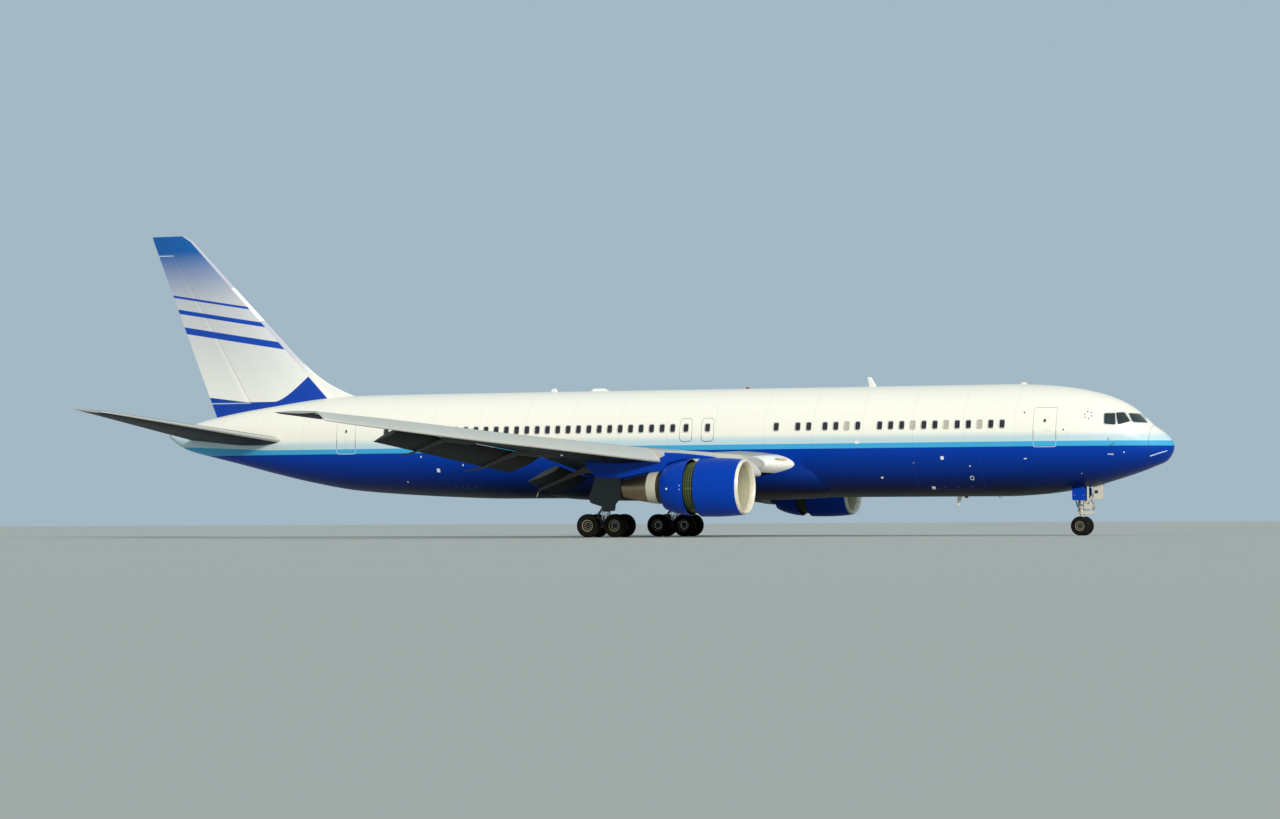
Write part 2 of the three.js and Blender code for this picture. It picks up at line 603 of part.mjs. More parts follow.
function slat(side, inner, outer, tracks) {
  const rings = stopsBetween(inner, outer).map((left) => {
    const { lead, trail, thickness } = wingRow(side, left);
    const chord = lead.x - trail.x;
    const [pivotShare, pivotHeight] = SLAT_OUTLINE[0];
    const size = rowAt(SLAT_SIZES, left)[1];
    return SLAT_OUTLINE.map(([share, height]) => {
      const back = (share - pivotShare) * chord * size;
      const rise = (height - pivotHeight) * thickness * MM * size;
      const turnedBack = back * Math.cos(SLAT_DROOP) - rise * Math.sin(SLAT_DROOP);
      const turnedUp = back * Math.sin(SLAT_DROOP) + rise * Math.cos(SLAT_DROOP);
      const aftOfLead = (pivotShare - SLAT_FORWARD) * chord + turnedBack;
      const up = (pivotHeight * thickness * MM - SLAT_DOWN * chord) + turnedUp;
      const along = aftOfLead / chord;
      return lead.clone().lerp(trail, along).addScaledVector(UP, up);
    });
  });
  const half = TRACK_WIDTH / 2;
  const arms = tracks.map((left) => {
    const { lead, trail } = wingRow(side, left);
    const face = Math.max(...[-half, half].map((d) => {
      const row = wingRow(side, left + d);
      return row.lead.clone().lerp(row.trail, SLAT_BAY).x;
    }));
    const middle = lead.clone().lerp(trail, SLAT_BAY / 2);
    return box(
      new THREE.Vector3(face + SEAT, (side * left - half) * MM, middle.z - 22),
      new THREE.Vector3(middle.x, (side * left + half) * MM, middle.z + 8),
    );
  });
  return joined([loft(rings), ...arms]);
}

function flapRow(side, left, [innerEnd, outerEnd]) {
  const share = (left - innerEnd[0]) / (outerEnd[0] - innerEnd[0]);
  const [, noseAft, noseUp, tailAft, tailUp] = innerEnd.map((v, i) => lerp(v, outerEnd[i], share));
  return { lead: place(noseAft, side * left, noseUp), trail: place(tailAft, side * left, tailUp) };
}

function flap(side, innerEnd, outerEnd) {
  const rings = [innerEnd, outerEnd].map(([left]) => {
    const { lead, trail } = flapRow(side, left, [innerEnd, outerEnd]);
    const chord = lead.distanceTo(trail) / MM;
    const normal = lead.clone().sub(trail).cross(LEFT).normalize();
    if (normal.z < 0) normal.negate();
    return foilRing(SYMMETRIC, lead, trail, FLAP_THICKNESS * chord, normal);
  });
  const tails = CANOES.filter(([left]) => left > innerEnd[0] && left < outerEnd[0]).map((canoe) =>
    canoeTail(side, canoe, [innerEnd, outerEnd]),
  );
  return joined([loft(rings), ...tails]);
}

// Cross-section of a flap track fairing: a flat top, upright sides and a keel.
function canoeRing(x, y, top, half, depth) {
  return [
    [-half, top], [-half, top - 0.55 * depth], [-0.45 * half, top - depth], [0.45 * half, top - depth],
    [half, top - 0.55 * depth], [half, top],
  ].map(([across, up]) => new THREE.Vector3(x, y + across, up));
}

const CANOE_JOINT = 0.9; // chord share where the fixed front meets the drooping tail

function canoeFront(side, left, frontAft, half, depth) {
  const { lead, trail } = wingRow(side, left);
  const chord = lead.x - trail.x;
  const frontShare = (lead.x - place(frontAft, 0, 0).x) / chord;
  // Each ring: chord share, half width share, depth share.
  const rings = [[frontShare, 0.25, 0.1], [lerp(frontShare, CANOE_JOINT, 0.45), 0.9, 0.8], [CANOE_JOINT, 1, 1]];
  return loft(
    rings.map(([share, wide, deep]) => {
      const skin = skinPoint(side, left, share);
      const sunk = 0.05 * MM;
      return canoeRing(skin.x, skin.y, skin.z + sunk, half * wide * MM, depth * deep * MM + sunk);
    }),
  );
}

function canoeTail(side, [left, , tipAft, tipUp, half, depth], ends) {
  const joint = skinPoint(side, left, CANOE_JOINT);
  const { lead, trail } = flapRow(side, left, ends);
  const tip = place(tipAft, side * left, tipUp);
  const startX = joint.x - SEAT;
  const start = [startX, joint.z - 0.05 * MM, 1, depth * 0.86];
  const under = [lerp(lead.x, trail.x, 0.35), lerp(lead.z, trail.z, 0.35) - 0.02 * MM, 0.85, depth * 0.9];
  const rear = [trail.x, lerp(trail.z, tip.z, 0.1), 0.45, depth * 0.5];
  const end = [tip.x, tip.z + 0.03 * MM, 0.1, 0.05];
  return loft(
    [start, under, rear, end].map(([x, top, wide, deep]) =>
      canoeRing(x, side * left * MM, top, half * wide * MM, deep * MM),
    ),
  );
}

function padBottom(side) {
  const { left, aft, drop } = WING_PAD;
  const { lead, trail } = wingRow(side, left);
  const share = (lead.x - place(aft, 0, 0).x) / (lead.x - trail.x);
  const skin = skinPoint(side, left, share);
  return new THREE.Vector3(skin.x, skin.y, skin.z - drop * MM);
}

function jackPad(side) {
  const bottom = padBottom(side);
  return rod(bottom, bottom.clone().setZ(bottom.z + 0.2 * MM), WING_PAD.radius * MM);
}

// Tail surfaces.
function finAndRudder() {
  const rings = FIN.map(([up, leadAft, trailAft, thickness]) =>
    foilRing(SYMMETRIC, place(leadAft, 0, up), place(trailAft, 0, up), thickness, LEFT),
  );
  const whole = loft(rings).add(sidePlate(DORSAL, -DORSAL_HALF, DORSAL_HALF));
  const { low, high, hingeLow, hingeHigh, gapLow, gapHigh, swing } = RUDDER;
  const ends = [[low, hingeLow], [high, hingeHigh]].map(([up, aft]) => {
    const [, leadAft, trailAft, thickness] = rowAt(FIN, up);
    const share = (aft - leadAft) / (trailAft - leadAft);
    const half = heightAt(SYMMETRIC, share, true) * thickness * MM;
    return { hinge: place(aft, 0, up), trail: place(trailAft, 0, up), half };
  });
  const hingeAft = (up) => lerp(hingeLow, hingeHigh, (up - low) / (high - low));
  const [bottom, top] = [low - gapLow / MM, high + gapHigh / MM];
  const from = (frontLow, frontHigh) =>
    sidePlate([[frontLow, bottom], [frontHigh, top], [FIN_BEHIND, top], [FIN_BEHIND, bottom]], -1, 1);
  const bay = from(hingeAft(bottom), hingeAft(top));
  const span = from(FIN[0][1], FIN[0][1]);
  const { cut, moving } = hingedOn(whole, ends, LEFT, { bay, span, gaps: [gapLow, gapHigh], swing });
  addMesh("fin", cut.subtract(tailBody), FIN_PAINT);
  addMesh("rudder", moving, FIN_PAINT);
}

function tailplaneSide(side) {
  const rowOf = (left) => {
    const [, leadAft, trailAft, leadUp, trailUp, thickness] = rowAt(TAILPLANE, left);
    return {
      lead: place(leadAft, side * left, leadUp),
      trail: place(trailAft, side * left, trailUp),
      thickness,
    };
  };
  const whole = loft(
    TAILPLANE.map(([left]) => {
      const { lead, trail, thickness } = rowOf(left);
      return foilRing(SYMMETRIC, lead, trail, thickness, UP);
    }),
  );
  const { inner, outer, hinge: share, gapInner, gapOuter, swing } = ELEVATOR;
  const ends = [inner, outer].map((left) => {
    const { lead, trail, thickness } = rowOf(left);
    const half = heightAt(SYMMETRIC, share, true) * thickness * MM;
    return { hinge: lead.clone().lerp(trail, share), trail, half };
  });
  const stretch = [inner - gapInner / MM, outer + gapOuter / MM];
  const aftOf = (left, along) => {
    const { lead, trail } = rowOf(left);
    return LENGTH / 2 - lead.clone().lerp(trail, along).x / MM;
  };
  const from = (fromShare) => {
    const front = stretch.map((left) => [aftOf(left, fromShare), side * left]);
    const back = stretch.map((left) => [aftOf(left, 1) + 1, side * left]).reverse();
    return planPlate([...front, ...back], 3, 8);
  };
  const { cut, moving } = hingedOn(whole, ends, UP, {
    bay: from(share), span: from(SOCKET_FROM), gaps: [gapInner, gapOuter], swing,
  });
  addMesh(`${sideName(side)}_tailplane`, largest(cut.subtract(tailBody)), SKIN);
  addMesh(`${sideName(side)}_elevator`, moving, SKIN);
}

// Engines: rings turned about the fore-and-aft axis, in the engine's own frame.
const engineX = (aft) => (LENGTH / 2 - aft) * MM;

function turned(profile, facets = ENGINE_FACETS) {
  const points = profile.map(([aft, radius]) => new THREE.Vector2(radius * MM, engineX(aft)));
  if (profile[0][1] > 0) points.push(points[0].clone());
  return solid(new THREE.LatheGeometry(points, facets).rotateZ(-Math.PI / 2));
}

function cascadeRing() {
  const { front, back, outerFront, outerBack, inner, rows } = CASCADE;
  const profile = [[back - SEAT_M, inner], [front + SEAT_M, inner]];
  for (let row = 0; row < rows; row++)
    for (const [share, drop] of [[0, 0], [0.45, 0], [0.6, 1]]) {
      const along = (row + share) / rows;
      const aft = lerp(front + SEAT_M, back - SEAT_M, along);
      profile.push([aft, lerp(outerFront, outerBack, along) - drop * CASCADE_GROOVE]);
    }
  profile.push([back - SEAT_M, outerBack]);
  return joined([turned(profile), ...sideBars({ ...SLEEVE_RAIL, front: front + SEAT_M })]);
}

// A bar on each side of an engine's ring.
function sideBars({ front, back, inner, outer, half }) {
  return [1, -1].map((sign) =>
    box(
      new THREE.Vector3(engineX(back), sign * inner * MM, -half * MM),
      new THREE.Vector3(engineX(front), sign * outer * MM, half * MM),
    ),
  );
}

function coreSolid() {
  const { count, front, back, inner, outer, half } = CORE_VANES;
  const vane = box(
    new THREE.Vector3(engineX(back), -half * MM, inner * MM),
    new THREE.Vector3(engineX(front), half * MM, outer * MM),
  );
  const duct = FAN_COWL.slice(DUCT_BACK, DUCT_BACK + 3).map(([aft, radius]) => [aft, radius - SEAT_M]);
  const bore = turned([[duct[0][0], 0], ...duct, [duct.at(-1)[0], 0]]);
  const vanes = [];
  for (let i = 0; i < count; i++) vanes.push(vane.rotate([(360 * i) / count, 0, 0]).intersect(bore));
  return joined([turned(CORE), ...vanes]);
}

function fanRotor() {
  const middle = engineX((FAN.front + FAN.back) / 2);
  const rings = BLADE.map(([radius, half]) => {
    const [sin, cos] = [Math.sin(BLADE_PITCH) * half * MM, Math.cos(BLADE_PITCH) * half * MM];
    return [[1, -1], [1, 1], [-1, 1], [-1, -1]].map(([along, face]) =>
      new THREE.Vector3(middle + along * cos, along * sin + face * BLADE_HALF * MM, radius * MM),
    );
  });
  const blade = loft(rings);
  const parts = [turned(FAN_HUB, FAN.blades)];
  for (let i = 0; i < FAN.blades; i++)
    parts.push(blade.rotate([(360 * (i + FAN.phase)) / FAN.blades, 0, 0]));
  return joined(parts);
}

function engineSide(side, wing) {
  const name = sideName(side);
  const group = new THREE.Group();
  group.position.set(0, side * ENGINE.left * MM, ENGINE.up * MM);
  root.add(group);
  addMesh(`${name}_fan_cowl`, turned(FAN_COWL), BLUE, group);
  addMesh(`${name}_reverser_cascade`, cascadeRing(), CASCADE_GREEN, group);
  addMesh(`${name}_reverser_sleeve`, turned(SLEEVE).subtract(joined(sideBars(RAIL_SLOT))), BLUE, group);
  addMesh(`${name}_engine_core`, coreSolid(), BARE_METAL, group);
  addMesh(`${name}_exhaust_nozzle`, turned(NOZZLE), NOZZLE_BROWN, group);
  addMesh(`${name}_fan`, fanRotor(), FAN_GREY, group);
  addMesh(`${name}_pylon`, pylon(side, wing), BLUE);
}

function pylon(side, wing) {
  const left = side * ENGINE.left;
  const plate = sidePlate(PYLON, left - PYLON_HALF, left + PYLON_HALF);
  const grown = (profile, room) => profile.map(([aft, radius]) => [aft, radius + room]);
  const closed = (profile) => [[profile[0][0], 0], ...profile, [profile.at(-1)[0], 0]];
  const cowlTool = closed([...grown(FAN_COWL.slice(0, COWL_OUTSIDE), SEAT_M), ...SLEEVE_ROOM]);
  const hot = [...CORE.slice(1, CORE_OUTSIDE), ...NOZZLE.slice(0, NOZZLE_OUTSIDE)];
  const coreTool = closed(grown(hot, 2 * SEAT_M));
  const lift = [0, left * MM, ENGINE.up * MM];
  const cut = plate.subtract(turned(cowlTool).translate(lift)).subtract(turned(coreTool).translate(lift));
  return largest(seatedOn(cut, wing, [[0, 0, -1], [1, 0, 0], [1, 0, -1]]));
}

// Gear.
function wheelSolid(tyre, width) {
  const radius = tyre / Math.cos(Math.PI / WHEEL_FACETS);
  const half = WHEEL.map(([across, out]) => [(across * width) / 2, out * radius]);
  const mirrored = half.map(([across, out]) => [-across, out]);
  const outline = [...mirrored, ...half.reverse()].map(
    ([across, out]) => new THREE.Vector2(out * MM, across * MM),
  );
  return solid(new THREE.LatheGeometry(outline, WHEEL_FACETS, Math.PI / WHEEL_FACETS));
}

// A rod across the aircraft, centred on a point.
function crossRod(middle, reach, radius) {
  const [from, to] = [-reach, reach].map((left) => middle.clone().add(place(LENGTH / 2, left, 0)));
  return rod(from, to, radius * MM, radius * MM, AXLE_FACETS);
}

const AXLE_FACETS = 24;
const boreFor = (radius) => (radius + SEAT_M) / Math.cos(Math.PI / AXLE_FACETS);

// Two wheels on the axle that turns with them, about the middle of the axle.
function wheelPair({ tyre, width, spacing, axle }) {
  const wheel = wheelSolid(tyre, width);
  const reach = spacing / 2;
  const wheels = [reach, -reach].map((left) => wheel.translate([0, left * MM, 0]));
  return joined([...wheels, crossRod(new THREE.Vector3(), reach, axle)]);
}

function noseGear() {
  const gear = NOSE_GEAR;
  const at = (aft, up) => place(gear.aft + aft, 0, up);
  const split = gear.cylinderLow;
  const strut = ([fromAft, fromUp, toAft, toUp, radius]) =>
    rod(at(fromAft, fromUp), at(toAft, toUp), radius * MM);
  const blocks = NOSE_LEG_BLOCKS.map(([front, back, low, high, half]) =>
    box(place(back, -half, low), place(front, half, high)),
  );
  const upper = joined([
    strut([0, split + SEAT_M, 0, gear.top + 0.3, gear.cylinder]),
    ...NOSE_LEG_STRUTS.map(strut),
    ...blocks,
  ]);
  addMesh("nose_gear_leg", largest(upper.subtract(noseBody)), GEAR_PAINT);

  const axleAt = at(0, gear.tyre);
  const lug = box(
    place(gear.lugAft, -gear.lugHalf, gear.tyre - gear.lugHalf),
    place(gear.aft, gear.lugHalf, gear.tyre + gear.lugHalf),
  );
  const lower = joined([
    strut([0, gear.tyre, 0, split, gear.piston]),
    crossRod(axleAt, gear.bossReach, gear.boss),
    ...NOSE_STEERED_STRUTS.map(strut),
    lug,
  ]);
  const bore = crossRod(axleAt, gear.spacing, boreFor(gear.axle));
  addMesh("nose_gear_steered_leg", lower.subtract(bore), GEAR_PAINT);
  addMesh("nose_wheels", wheelPair(gear), RUBBER).position.copy(axleAt);

  const { front, back, top, bottom, left, half, chamfer } = NOSE_DOORS;
  const outline = [
    [front, top], [back, top], [back, bottom + chamfer], [back - chamfer, bottom],
    [front + chamfer, bottom], [front, bottom + chamfer],
  ];
  for (const side of [-1, 1]) {
    const door = sidePlate(outline, side * left - half, side * left + half);
    addMesh(`${sideName(side)}_nose_gear_door`, door.subtract(noseBody), BLUE);
  }
}

function mainGear(side, wing) {
  const gear = MAIN_GEAR;
  const name = sideName(side);
  const at = (aft, off, up) => place(gear.aft + aft, side * (gear.left + off), up);
  const half = gear.base / 2;
  const axles = [["front", -half], ["rear", half]].map(([end, aft]) => [end, at(aft, 0, gear.tyre)]);
  const struts = MAIN_LEG_STRUTS.map(([from, to, radius]) => rod(at(...from), at(...to), radius * MM));
  const bosses = axles.map(([, middle]) => crossRod(middle, gear.bossReach, gear.boss));
  const bores = axles.map(([, middle]) => crossRod(middle, gear.spacing, boreFor(gear.axle)));
  const whole = joined([...struts, ...bosses]).subtract(joined(bores));
  const leg = largest(clearOfBody(seatedOn(whole, wing, [[0, 0, -1], [1, 0, 0], [-1, 0, 0]]), side));
  addMesh(`${name}_main_gear`, leg, GEAR_PAINT);
  for (const [end, middle] of axles)
    addMesh(`${name}_${end}_main_wheels`, wheelPair(gear), RUBBER).position.copy(middle);

  const off = LEG_DOOR_LEFT - gear.left;
  const plate = sidePlate(LEG_DOOR, side * (LEG_DOOR_LEFT - DOOR_HALF), side * (LEG_DOOR_LEFT + DOOR_HALF));
  const arms = LEG_DOOR_ARMS.map((up) => rod(at(0, 0, up), at(0, off, up), 0.05 * MM));
  const door = seatedOn(joined([plate, ...arms]), leg, [[0, side, 0]]);
  addMesh(`${name}_leg_door`, largest(seatedOn(door, wing, [[0, 0, -1]])), DOOR_GREY);
}

for (const [node, , , colour] of SECTIONS) {
  let made = body[node];
  if (node === "forward_fuselage") {
    const skin = rowAt(STATIONS, NOSE_PAD.aft)[2];
    const low = place(NOSE_PAD.aft, 0, skin - NOSE_PAD.drop);
    made = made.add(rod(low, place(NOSE_PAD.aft, 0, skin + 0.1), NOSE_PAD.radius * MM));
  }
  addMesh(node, made, colour);
}
addMesh("wing_body_fairing", largest(fairing), BLUE);
for (const side of [-1, 1]) {
  const wing = wingSide(side);
  engineSide(side, wing);
  mainGear(side, wing);
  tailplaneSide(side);
}
finAndRudder();
noseGear();

export default root;
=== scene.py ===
"""The looks of a parked wide body airliner, built round its packed half-size frame."""

from math import copysign, cos, pi, radians, sin, sqrt, tau

import bmesh
import bpy
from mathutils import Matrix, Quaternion, Vector


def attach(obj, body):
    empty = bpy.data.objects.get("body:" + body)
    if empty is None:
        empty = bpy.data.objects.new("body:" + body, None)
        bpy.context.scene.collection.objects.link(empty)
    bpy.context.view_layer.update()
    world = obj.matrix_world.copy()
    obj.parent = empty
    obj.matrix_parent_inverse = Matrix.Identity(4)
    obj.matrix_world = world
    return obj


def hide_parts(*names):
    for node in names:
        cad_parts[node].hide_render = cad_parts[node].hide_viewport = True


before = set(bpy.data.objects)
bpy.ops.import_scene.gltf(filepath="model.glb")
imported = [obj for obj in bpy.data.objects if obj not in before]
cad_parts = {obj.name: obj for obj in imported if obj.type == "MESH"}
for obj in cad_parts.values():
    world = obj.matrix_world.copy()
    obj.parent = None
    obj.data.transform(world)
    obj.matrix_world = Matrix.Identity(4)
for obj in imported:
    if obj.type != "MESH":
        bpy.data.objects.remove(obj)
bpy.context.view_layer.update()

# Every size below is in real metres: "aft" runs back from the nose, "left" from the centre plane
# and "up" from the ground. at() turns them into the half-size frame, where +X is forward.
LENGTH = 54.94
SCALE = 0.5
FORWARD, LEFT, UP = Vector((1, 0, 0)), Vector((0, 1, 0)), Vector((0, 0, 1))


def at(aft, left, up):
    return Vector(((LENGTH / 2 - aft) * SCALE, left * SCALE, up * SCALE))


def lerp(a, b, share):
    return a + (b - a) * share


def turns(count):
    """Angles that go once round in equal steps."""
    return spread(0, tau, count)[:-1]


def bulge(value, power):
    """A power that keeps the sign. It makes a round section squarer."""
    return copysign(abs(value) ** power, value)


def placed(name, data):
    thing = bpy.data.objects.new(name, data)
    bpy.context.scene.collection.objects.link(thing)
    return thing


# Shapes are points and faces that grow piece by piece; each face has the index of its material.
class Shape:
    def __init__(self):
        self.points, self.faces, self.slots = [], [], []

    def add(self, points, faces, slot=0):
        start = len(self.points)
        self.points += [Vector(p) for p in points]
        self.faces += [[start + i for i in face] for face in faces]
        self.slots += [slot] * len(faces)
        return self

    def loft(self, rings, slot=0, ends=True, endless=False):
        """A skin through rings of equally many points."""
        count, rows = len(rings[0]), len(rings)
        faces = []
        for r in range(rows if endless else rows - 1):
            here, there = r * count, (r + 1) % rows * count
            for i in range(count):
                j = (i + 1) % count
                faces.append([here + i, here + j, there + j, there + i])
        if ends and not endless:
            faces += [list(range(count))[::-1], [(rows - 1) * count + i for i in range(count)]]
        return self.add([p for ring in rings for p in ring], faces, slot)

    def mirrored(self):
        made = Shape()
        made.points = [Vector((p.x, -p.y, p.z)) for p in self.points]
        made.faces = [face[::-1] for face in self.faces]
        made.slots = list(self.slots)
        return made

    def mesh(self, name):
        made = bpy.data.meshes.new(name)
        made.from_pydata(self.points, [], self.faces)
        made.polygons.foreach_set("material_index", self.slots)
        work = bmesh.new()
        work.from_mesh(made)
        bmesh.ops.remove_doubles(work, verts=work.verts, dist=1e-5)
        bmesh.ops.recalc_face_normals(work, faces=work.faces)
        work.to_mesh(made)
        work.free()
        return made


SHARP = radians(38)
# The look "under" on the lower faces is a near black grey: painted shade.
WING_LOOKS = "wing slat under trim"


def piece(name, shape, looks, body="airframe", node=None):
    """A piece of the scene with the names of its looks, and the solid that it replaces."""
    made = shape.mesh(name)
    for look in looks.split():
        made.materials.append(LOOKS[look])
    made.shade_smooth()
    made.set_sharp_from_angle(angle=SHARP)
    thing = placed(name, made)
    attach(thing, body)
    if node:
        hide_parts(node)


def pair(name, shape, looks, body=None, node=None):
    """A piece of the right side, and its mirror image on the left."""
    for side, made in (("right", shape), ("left", shape.mirrored())):
        where = f"{side}_{body}" if body else "airframe"
        piece(f"{side}_{name}", made, looks, where, node and f"{side}_{node}")


def carve(shape, cutters):
    """The shape less its cutters."""
    body = placed("carved", shape.mesh("carved"))
    tools = [placed("cutter", cutter.mesh("cutter")) for cutter in cutters]
    for tool in tools:
        modifier = body.modifiers.new("cut", "BOOLEAN")
        modifier.operation, modifier.solver, modifier.object = "DIFFERENCE", "EXACT", tool
    result = bpy.data.meshes.new_from_object(body.evaluated_get(bpy.context.evaluated_depsgraph_get()))
    made = Shape().add([v.co for v in result.vertices], [list(p.vertices) for p in result.polygons])
    made.slots = [p.material_index for p in result.polygons]
    for thing in [body, *tools]:
        bpy.data.objects.remove(thing)
    return made


# Smooth curves through the rows of a table, which don't overshoot them.
class Curve:
    def __init__(self, rows, rooted=False):
        self.rooted = rooted
        self.keys = [sqrt(row[0]) if rooted else row[0] for row in rows]
        self.columns = list(zip(*[row[1:] for row in rows]))
        self.slopes = [self.slopes_of(column) for column in self.columns]

    def slopes_of(self, values):
        keys = self.keys
        steps = [(b - a) / (q - p) for a, b, p, q in zip(values, values[1:], keys, keys[1:])]
        inner = [0 if p * q <= 0 else 2 * p * q / (p + q) for p, q in zip(steps, steps[1:])]
        return [steps[0], *inner, steps[-1]]

    def at(self, key):
        key = sqrt(max(key, 0)) if self.rooted else key
        keys = self.keys
        i = max(0, min(len(keys) - 2, sum(k < key for k in keys) - 1))
        width = keys[i + 1] - keys[i]
        t = min(1, max(0, (key - keys[i]) / width))
        rise = 3 * t * t - 2 * t ** 3
        starts, ends = (t ** 3 - 2 * t * t + t) * width, (t ** 3 - t * t) * width
        return [
            (1 - rise) * c[i] + rise * c[i + 1] + starts * m[i] + ends * m[i + 1]
            for c, m in zip(self.columns, self.slopes)
        ]


def rows_at(table, key):
    """A table's row at a key, on straight lines between its rows."""
    i = max(1, next((n for n, row in enumerate(table) if row[0] >= key), len(table) - 1))
    low, high = table[i - 1], table[i]
    share = (key - low[0]) / (high[0] - low[0])
    return [lerp(a, b, share) for a, b in zip(low, high)]


def spread(start, end, count):
    return [lerp(start, end, i / count) for i in range(count + 1)]


# Procedural materials. Their coordinates are the frame's own metres, fixed to each piece.
COAT_ROUGH = 0.08
STAIN_STRETCH, STAIN_RANGE = (0.35, 1, 1.6), (0.35, 0.75)


def srgb(red, green, blue):
    """A screen colour of 0 to 255 as light, by the standard curve."""
    return tuple(((c / 255 + 0.055) / 1.055) ** 2.4 if c > 10 else c / 3295 for c in (red, green, blue))


GRIME, SEAM_DARK = srgb(70, 66, 58), srgb(40, 42, 46)


class Look:
    def __init__(self, name, rough=0.4, metal=0.0, coat=0.0, shine=0.5):
        self.material = bpy.data.materials.new(name)
        self.material.use_nodes = True
        self.tree = self.material.node_tree
        self.shader = self.tree.nodes["Principled BSDF"]
        self.rough = rough
        for socket, value in (("Roughness", rough), ("Metallic", metal), ("Coat Weight", coat),
                              ("Coat Roughness", COAT_ROUGH), ("Specular IOR Level", shine)):
            self.shader.inputs[socket].default_value = value
        self.spot = self.node("TexCoord", output="Object")
        split = self.tree.nodes.new("ShaderNodeSeparateXYZ")
        self.tree.links.new(self.spot, split.inputs[0])
        self.x, self.y, self.z = split.outputs

    def node(self, kind, inputs=(), output=0, **settings):
        made = self.tree.nodes.new("ShaderNode" + kind)
        for key, value in settings.items():
            setattr(made, key, value)
        for socket, value in dict(inputs).items():
            if isinstance(value, bpy.types.NodeSocket):
                self.tree.links.new(value, made.inputs[socket])
            else:
                made.inputs[socket].default_value = value
        return made.outputs[output]

    def math(self, operation, *values):
        return self.node("Math", enumerate(values), operation=operation)

    def times(self, value, share):
        return self.math("MULTIPLY", value, share)

    def less(self, value, off):
        return self.math("SUBTRACT", value, off)

    def up(self):
        """The height in real metres, as a table has it."""
        return self.math("DIVIDE", self.z, SCALE)

    def aft(self):
        return self.less(LENGTH / 2, self.math("DIVIDE", self.x, SCALE))

    def between(self, value, low, high):
        """0 below low, 1 above high."""
        return self.node("MapRange", {"Value": value, "From Min": low, "From Max": high}, output="Result")

    def noise(self, scale, detail=2.0, stretch=(1, 1, 1)):
        spot = self.node("Mapping", {"Vector": self.spot, "Scale": stretch})
        return self.node("TexNoise", {"Vector": spot, "Scale": scale, "Detail": detail})

    def lines(self, value, pitch, width):
        """1 on thin lines at every pitch, else 0."""
        away = self.math("PINGPONG", value, pitch / 2)
        return self.less(1.0, self.between(away, width * 0.3, width))

    def mix(self, share, first, second):
        inputs = {"Factor": share, 6: first, 7: second}
        for key in (6, 7):
            if not isinstance(inputs[key], bpy.types.NodeSocket):
                inputs[key] = (*inputs[key], 1)
        return self.node("Mix", inputs, output=2, data_type="RGBA")

    def fade(self, value, low, high, first, second):
        """The first colour below low, the second above high."""
        return self.mix(self.between(value, low, high), first, second)

    def finish(self, colour, stain=0.06, stain_scale=0.7, grain=60, bump=0.0004, rough_swing=0.12, seams=()):
        """The colour with stains, uneven gloss, fine bumps and seams, each a (mask, share) pair."""
        dark = self.between(self.noise(stain_scale, 5.0, STAIN_STRETCH), *STAIN_RANGE)
        colour = self.mix(self.times(dark, stain * 4), colour, self.mix(0.25, colour, GRIME))
        height = self.times(self.noise(grain, 3.0), 0.25)
        for mask, depth in seams:
            groove = self.times(mask, depth)
            colour = self.mix(groove, colour, SEAM_DARK)
            height = self.less(height, groove)
        swing = self.times(self.less(self.noise(grain / 12, 3.0), 0.5), rough_swing)
        normal = self.node("Bump", {"Height": height, "Distance": bump, "Strength": 0.5})
        rough = self.math("ADD", swing, self.rough)
        for socket, value in (("Roughness", rough), ("Normal", normal), ("Base Color", colour)):
            self.tree.links.new(value, self.shader.inputs[socket])
        return self.material


WHITE, PALE, SKY = srgb(243, 238, 224), srgb(192, 214, 220), srgb(66, 166, 212)
# Towards the belly the deep blue darkens to NAVY and then to near black: painted shade of the underside.
DEEP, NAVY, BELLY_SHADE = srgb(0, 56, 160), srgb(0, 42, 128), srgb(0, 4, 16)
DEEP_TOP, SKY_TOP, PALE_TOP, PALE_FADE = 4.265, 4.51, 4.72, 5.0
NAVY_TOP, BELLY_SHADE_TOP, BELLY_SHADE_LOW = 4.1, 3.1, 2.1
RADOME_SEAM, FRAME_PITCH, LAP_PITCH, BODY_MIDDLE = 0.95, 2.54, radians(30), 4.6
# The light bands climb towards the tail cone: over which stretch, and how far each. Where the tailplane's
# shadow falls on the cone, this climb is partly painted shadow in pale blue-grey.
TAIL_RISE_AND_SHADOW = {"aft": (47.5, 52.5), "pale": 0.55, "sky": 0.22}


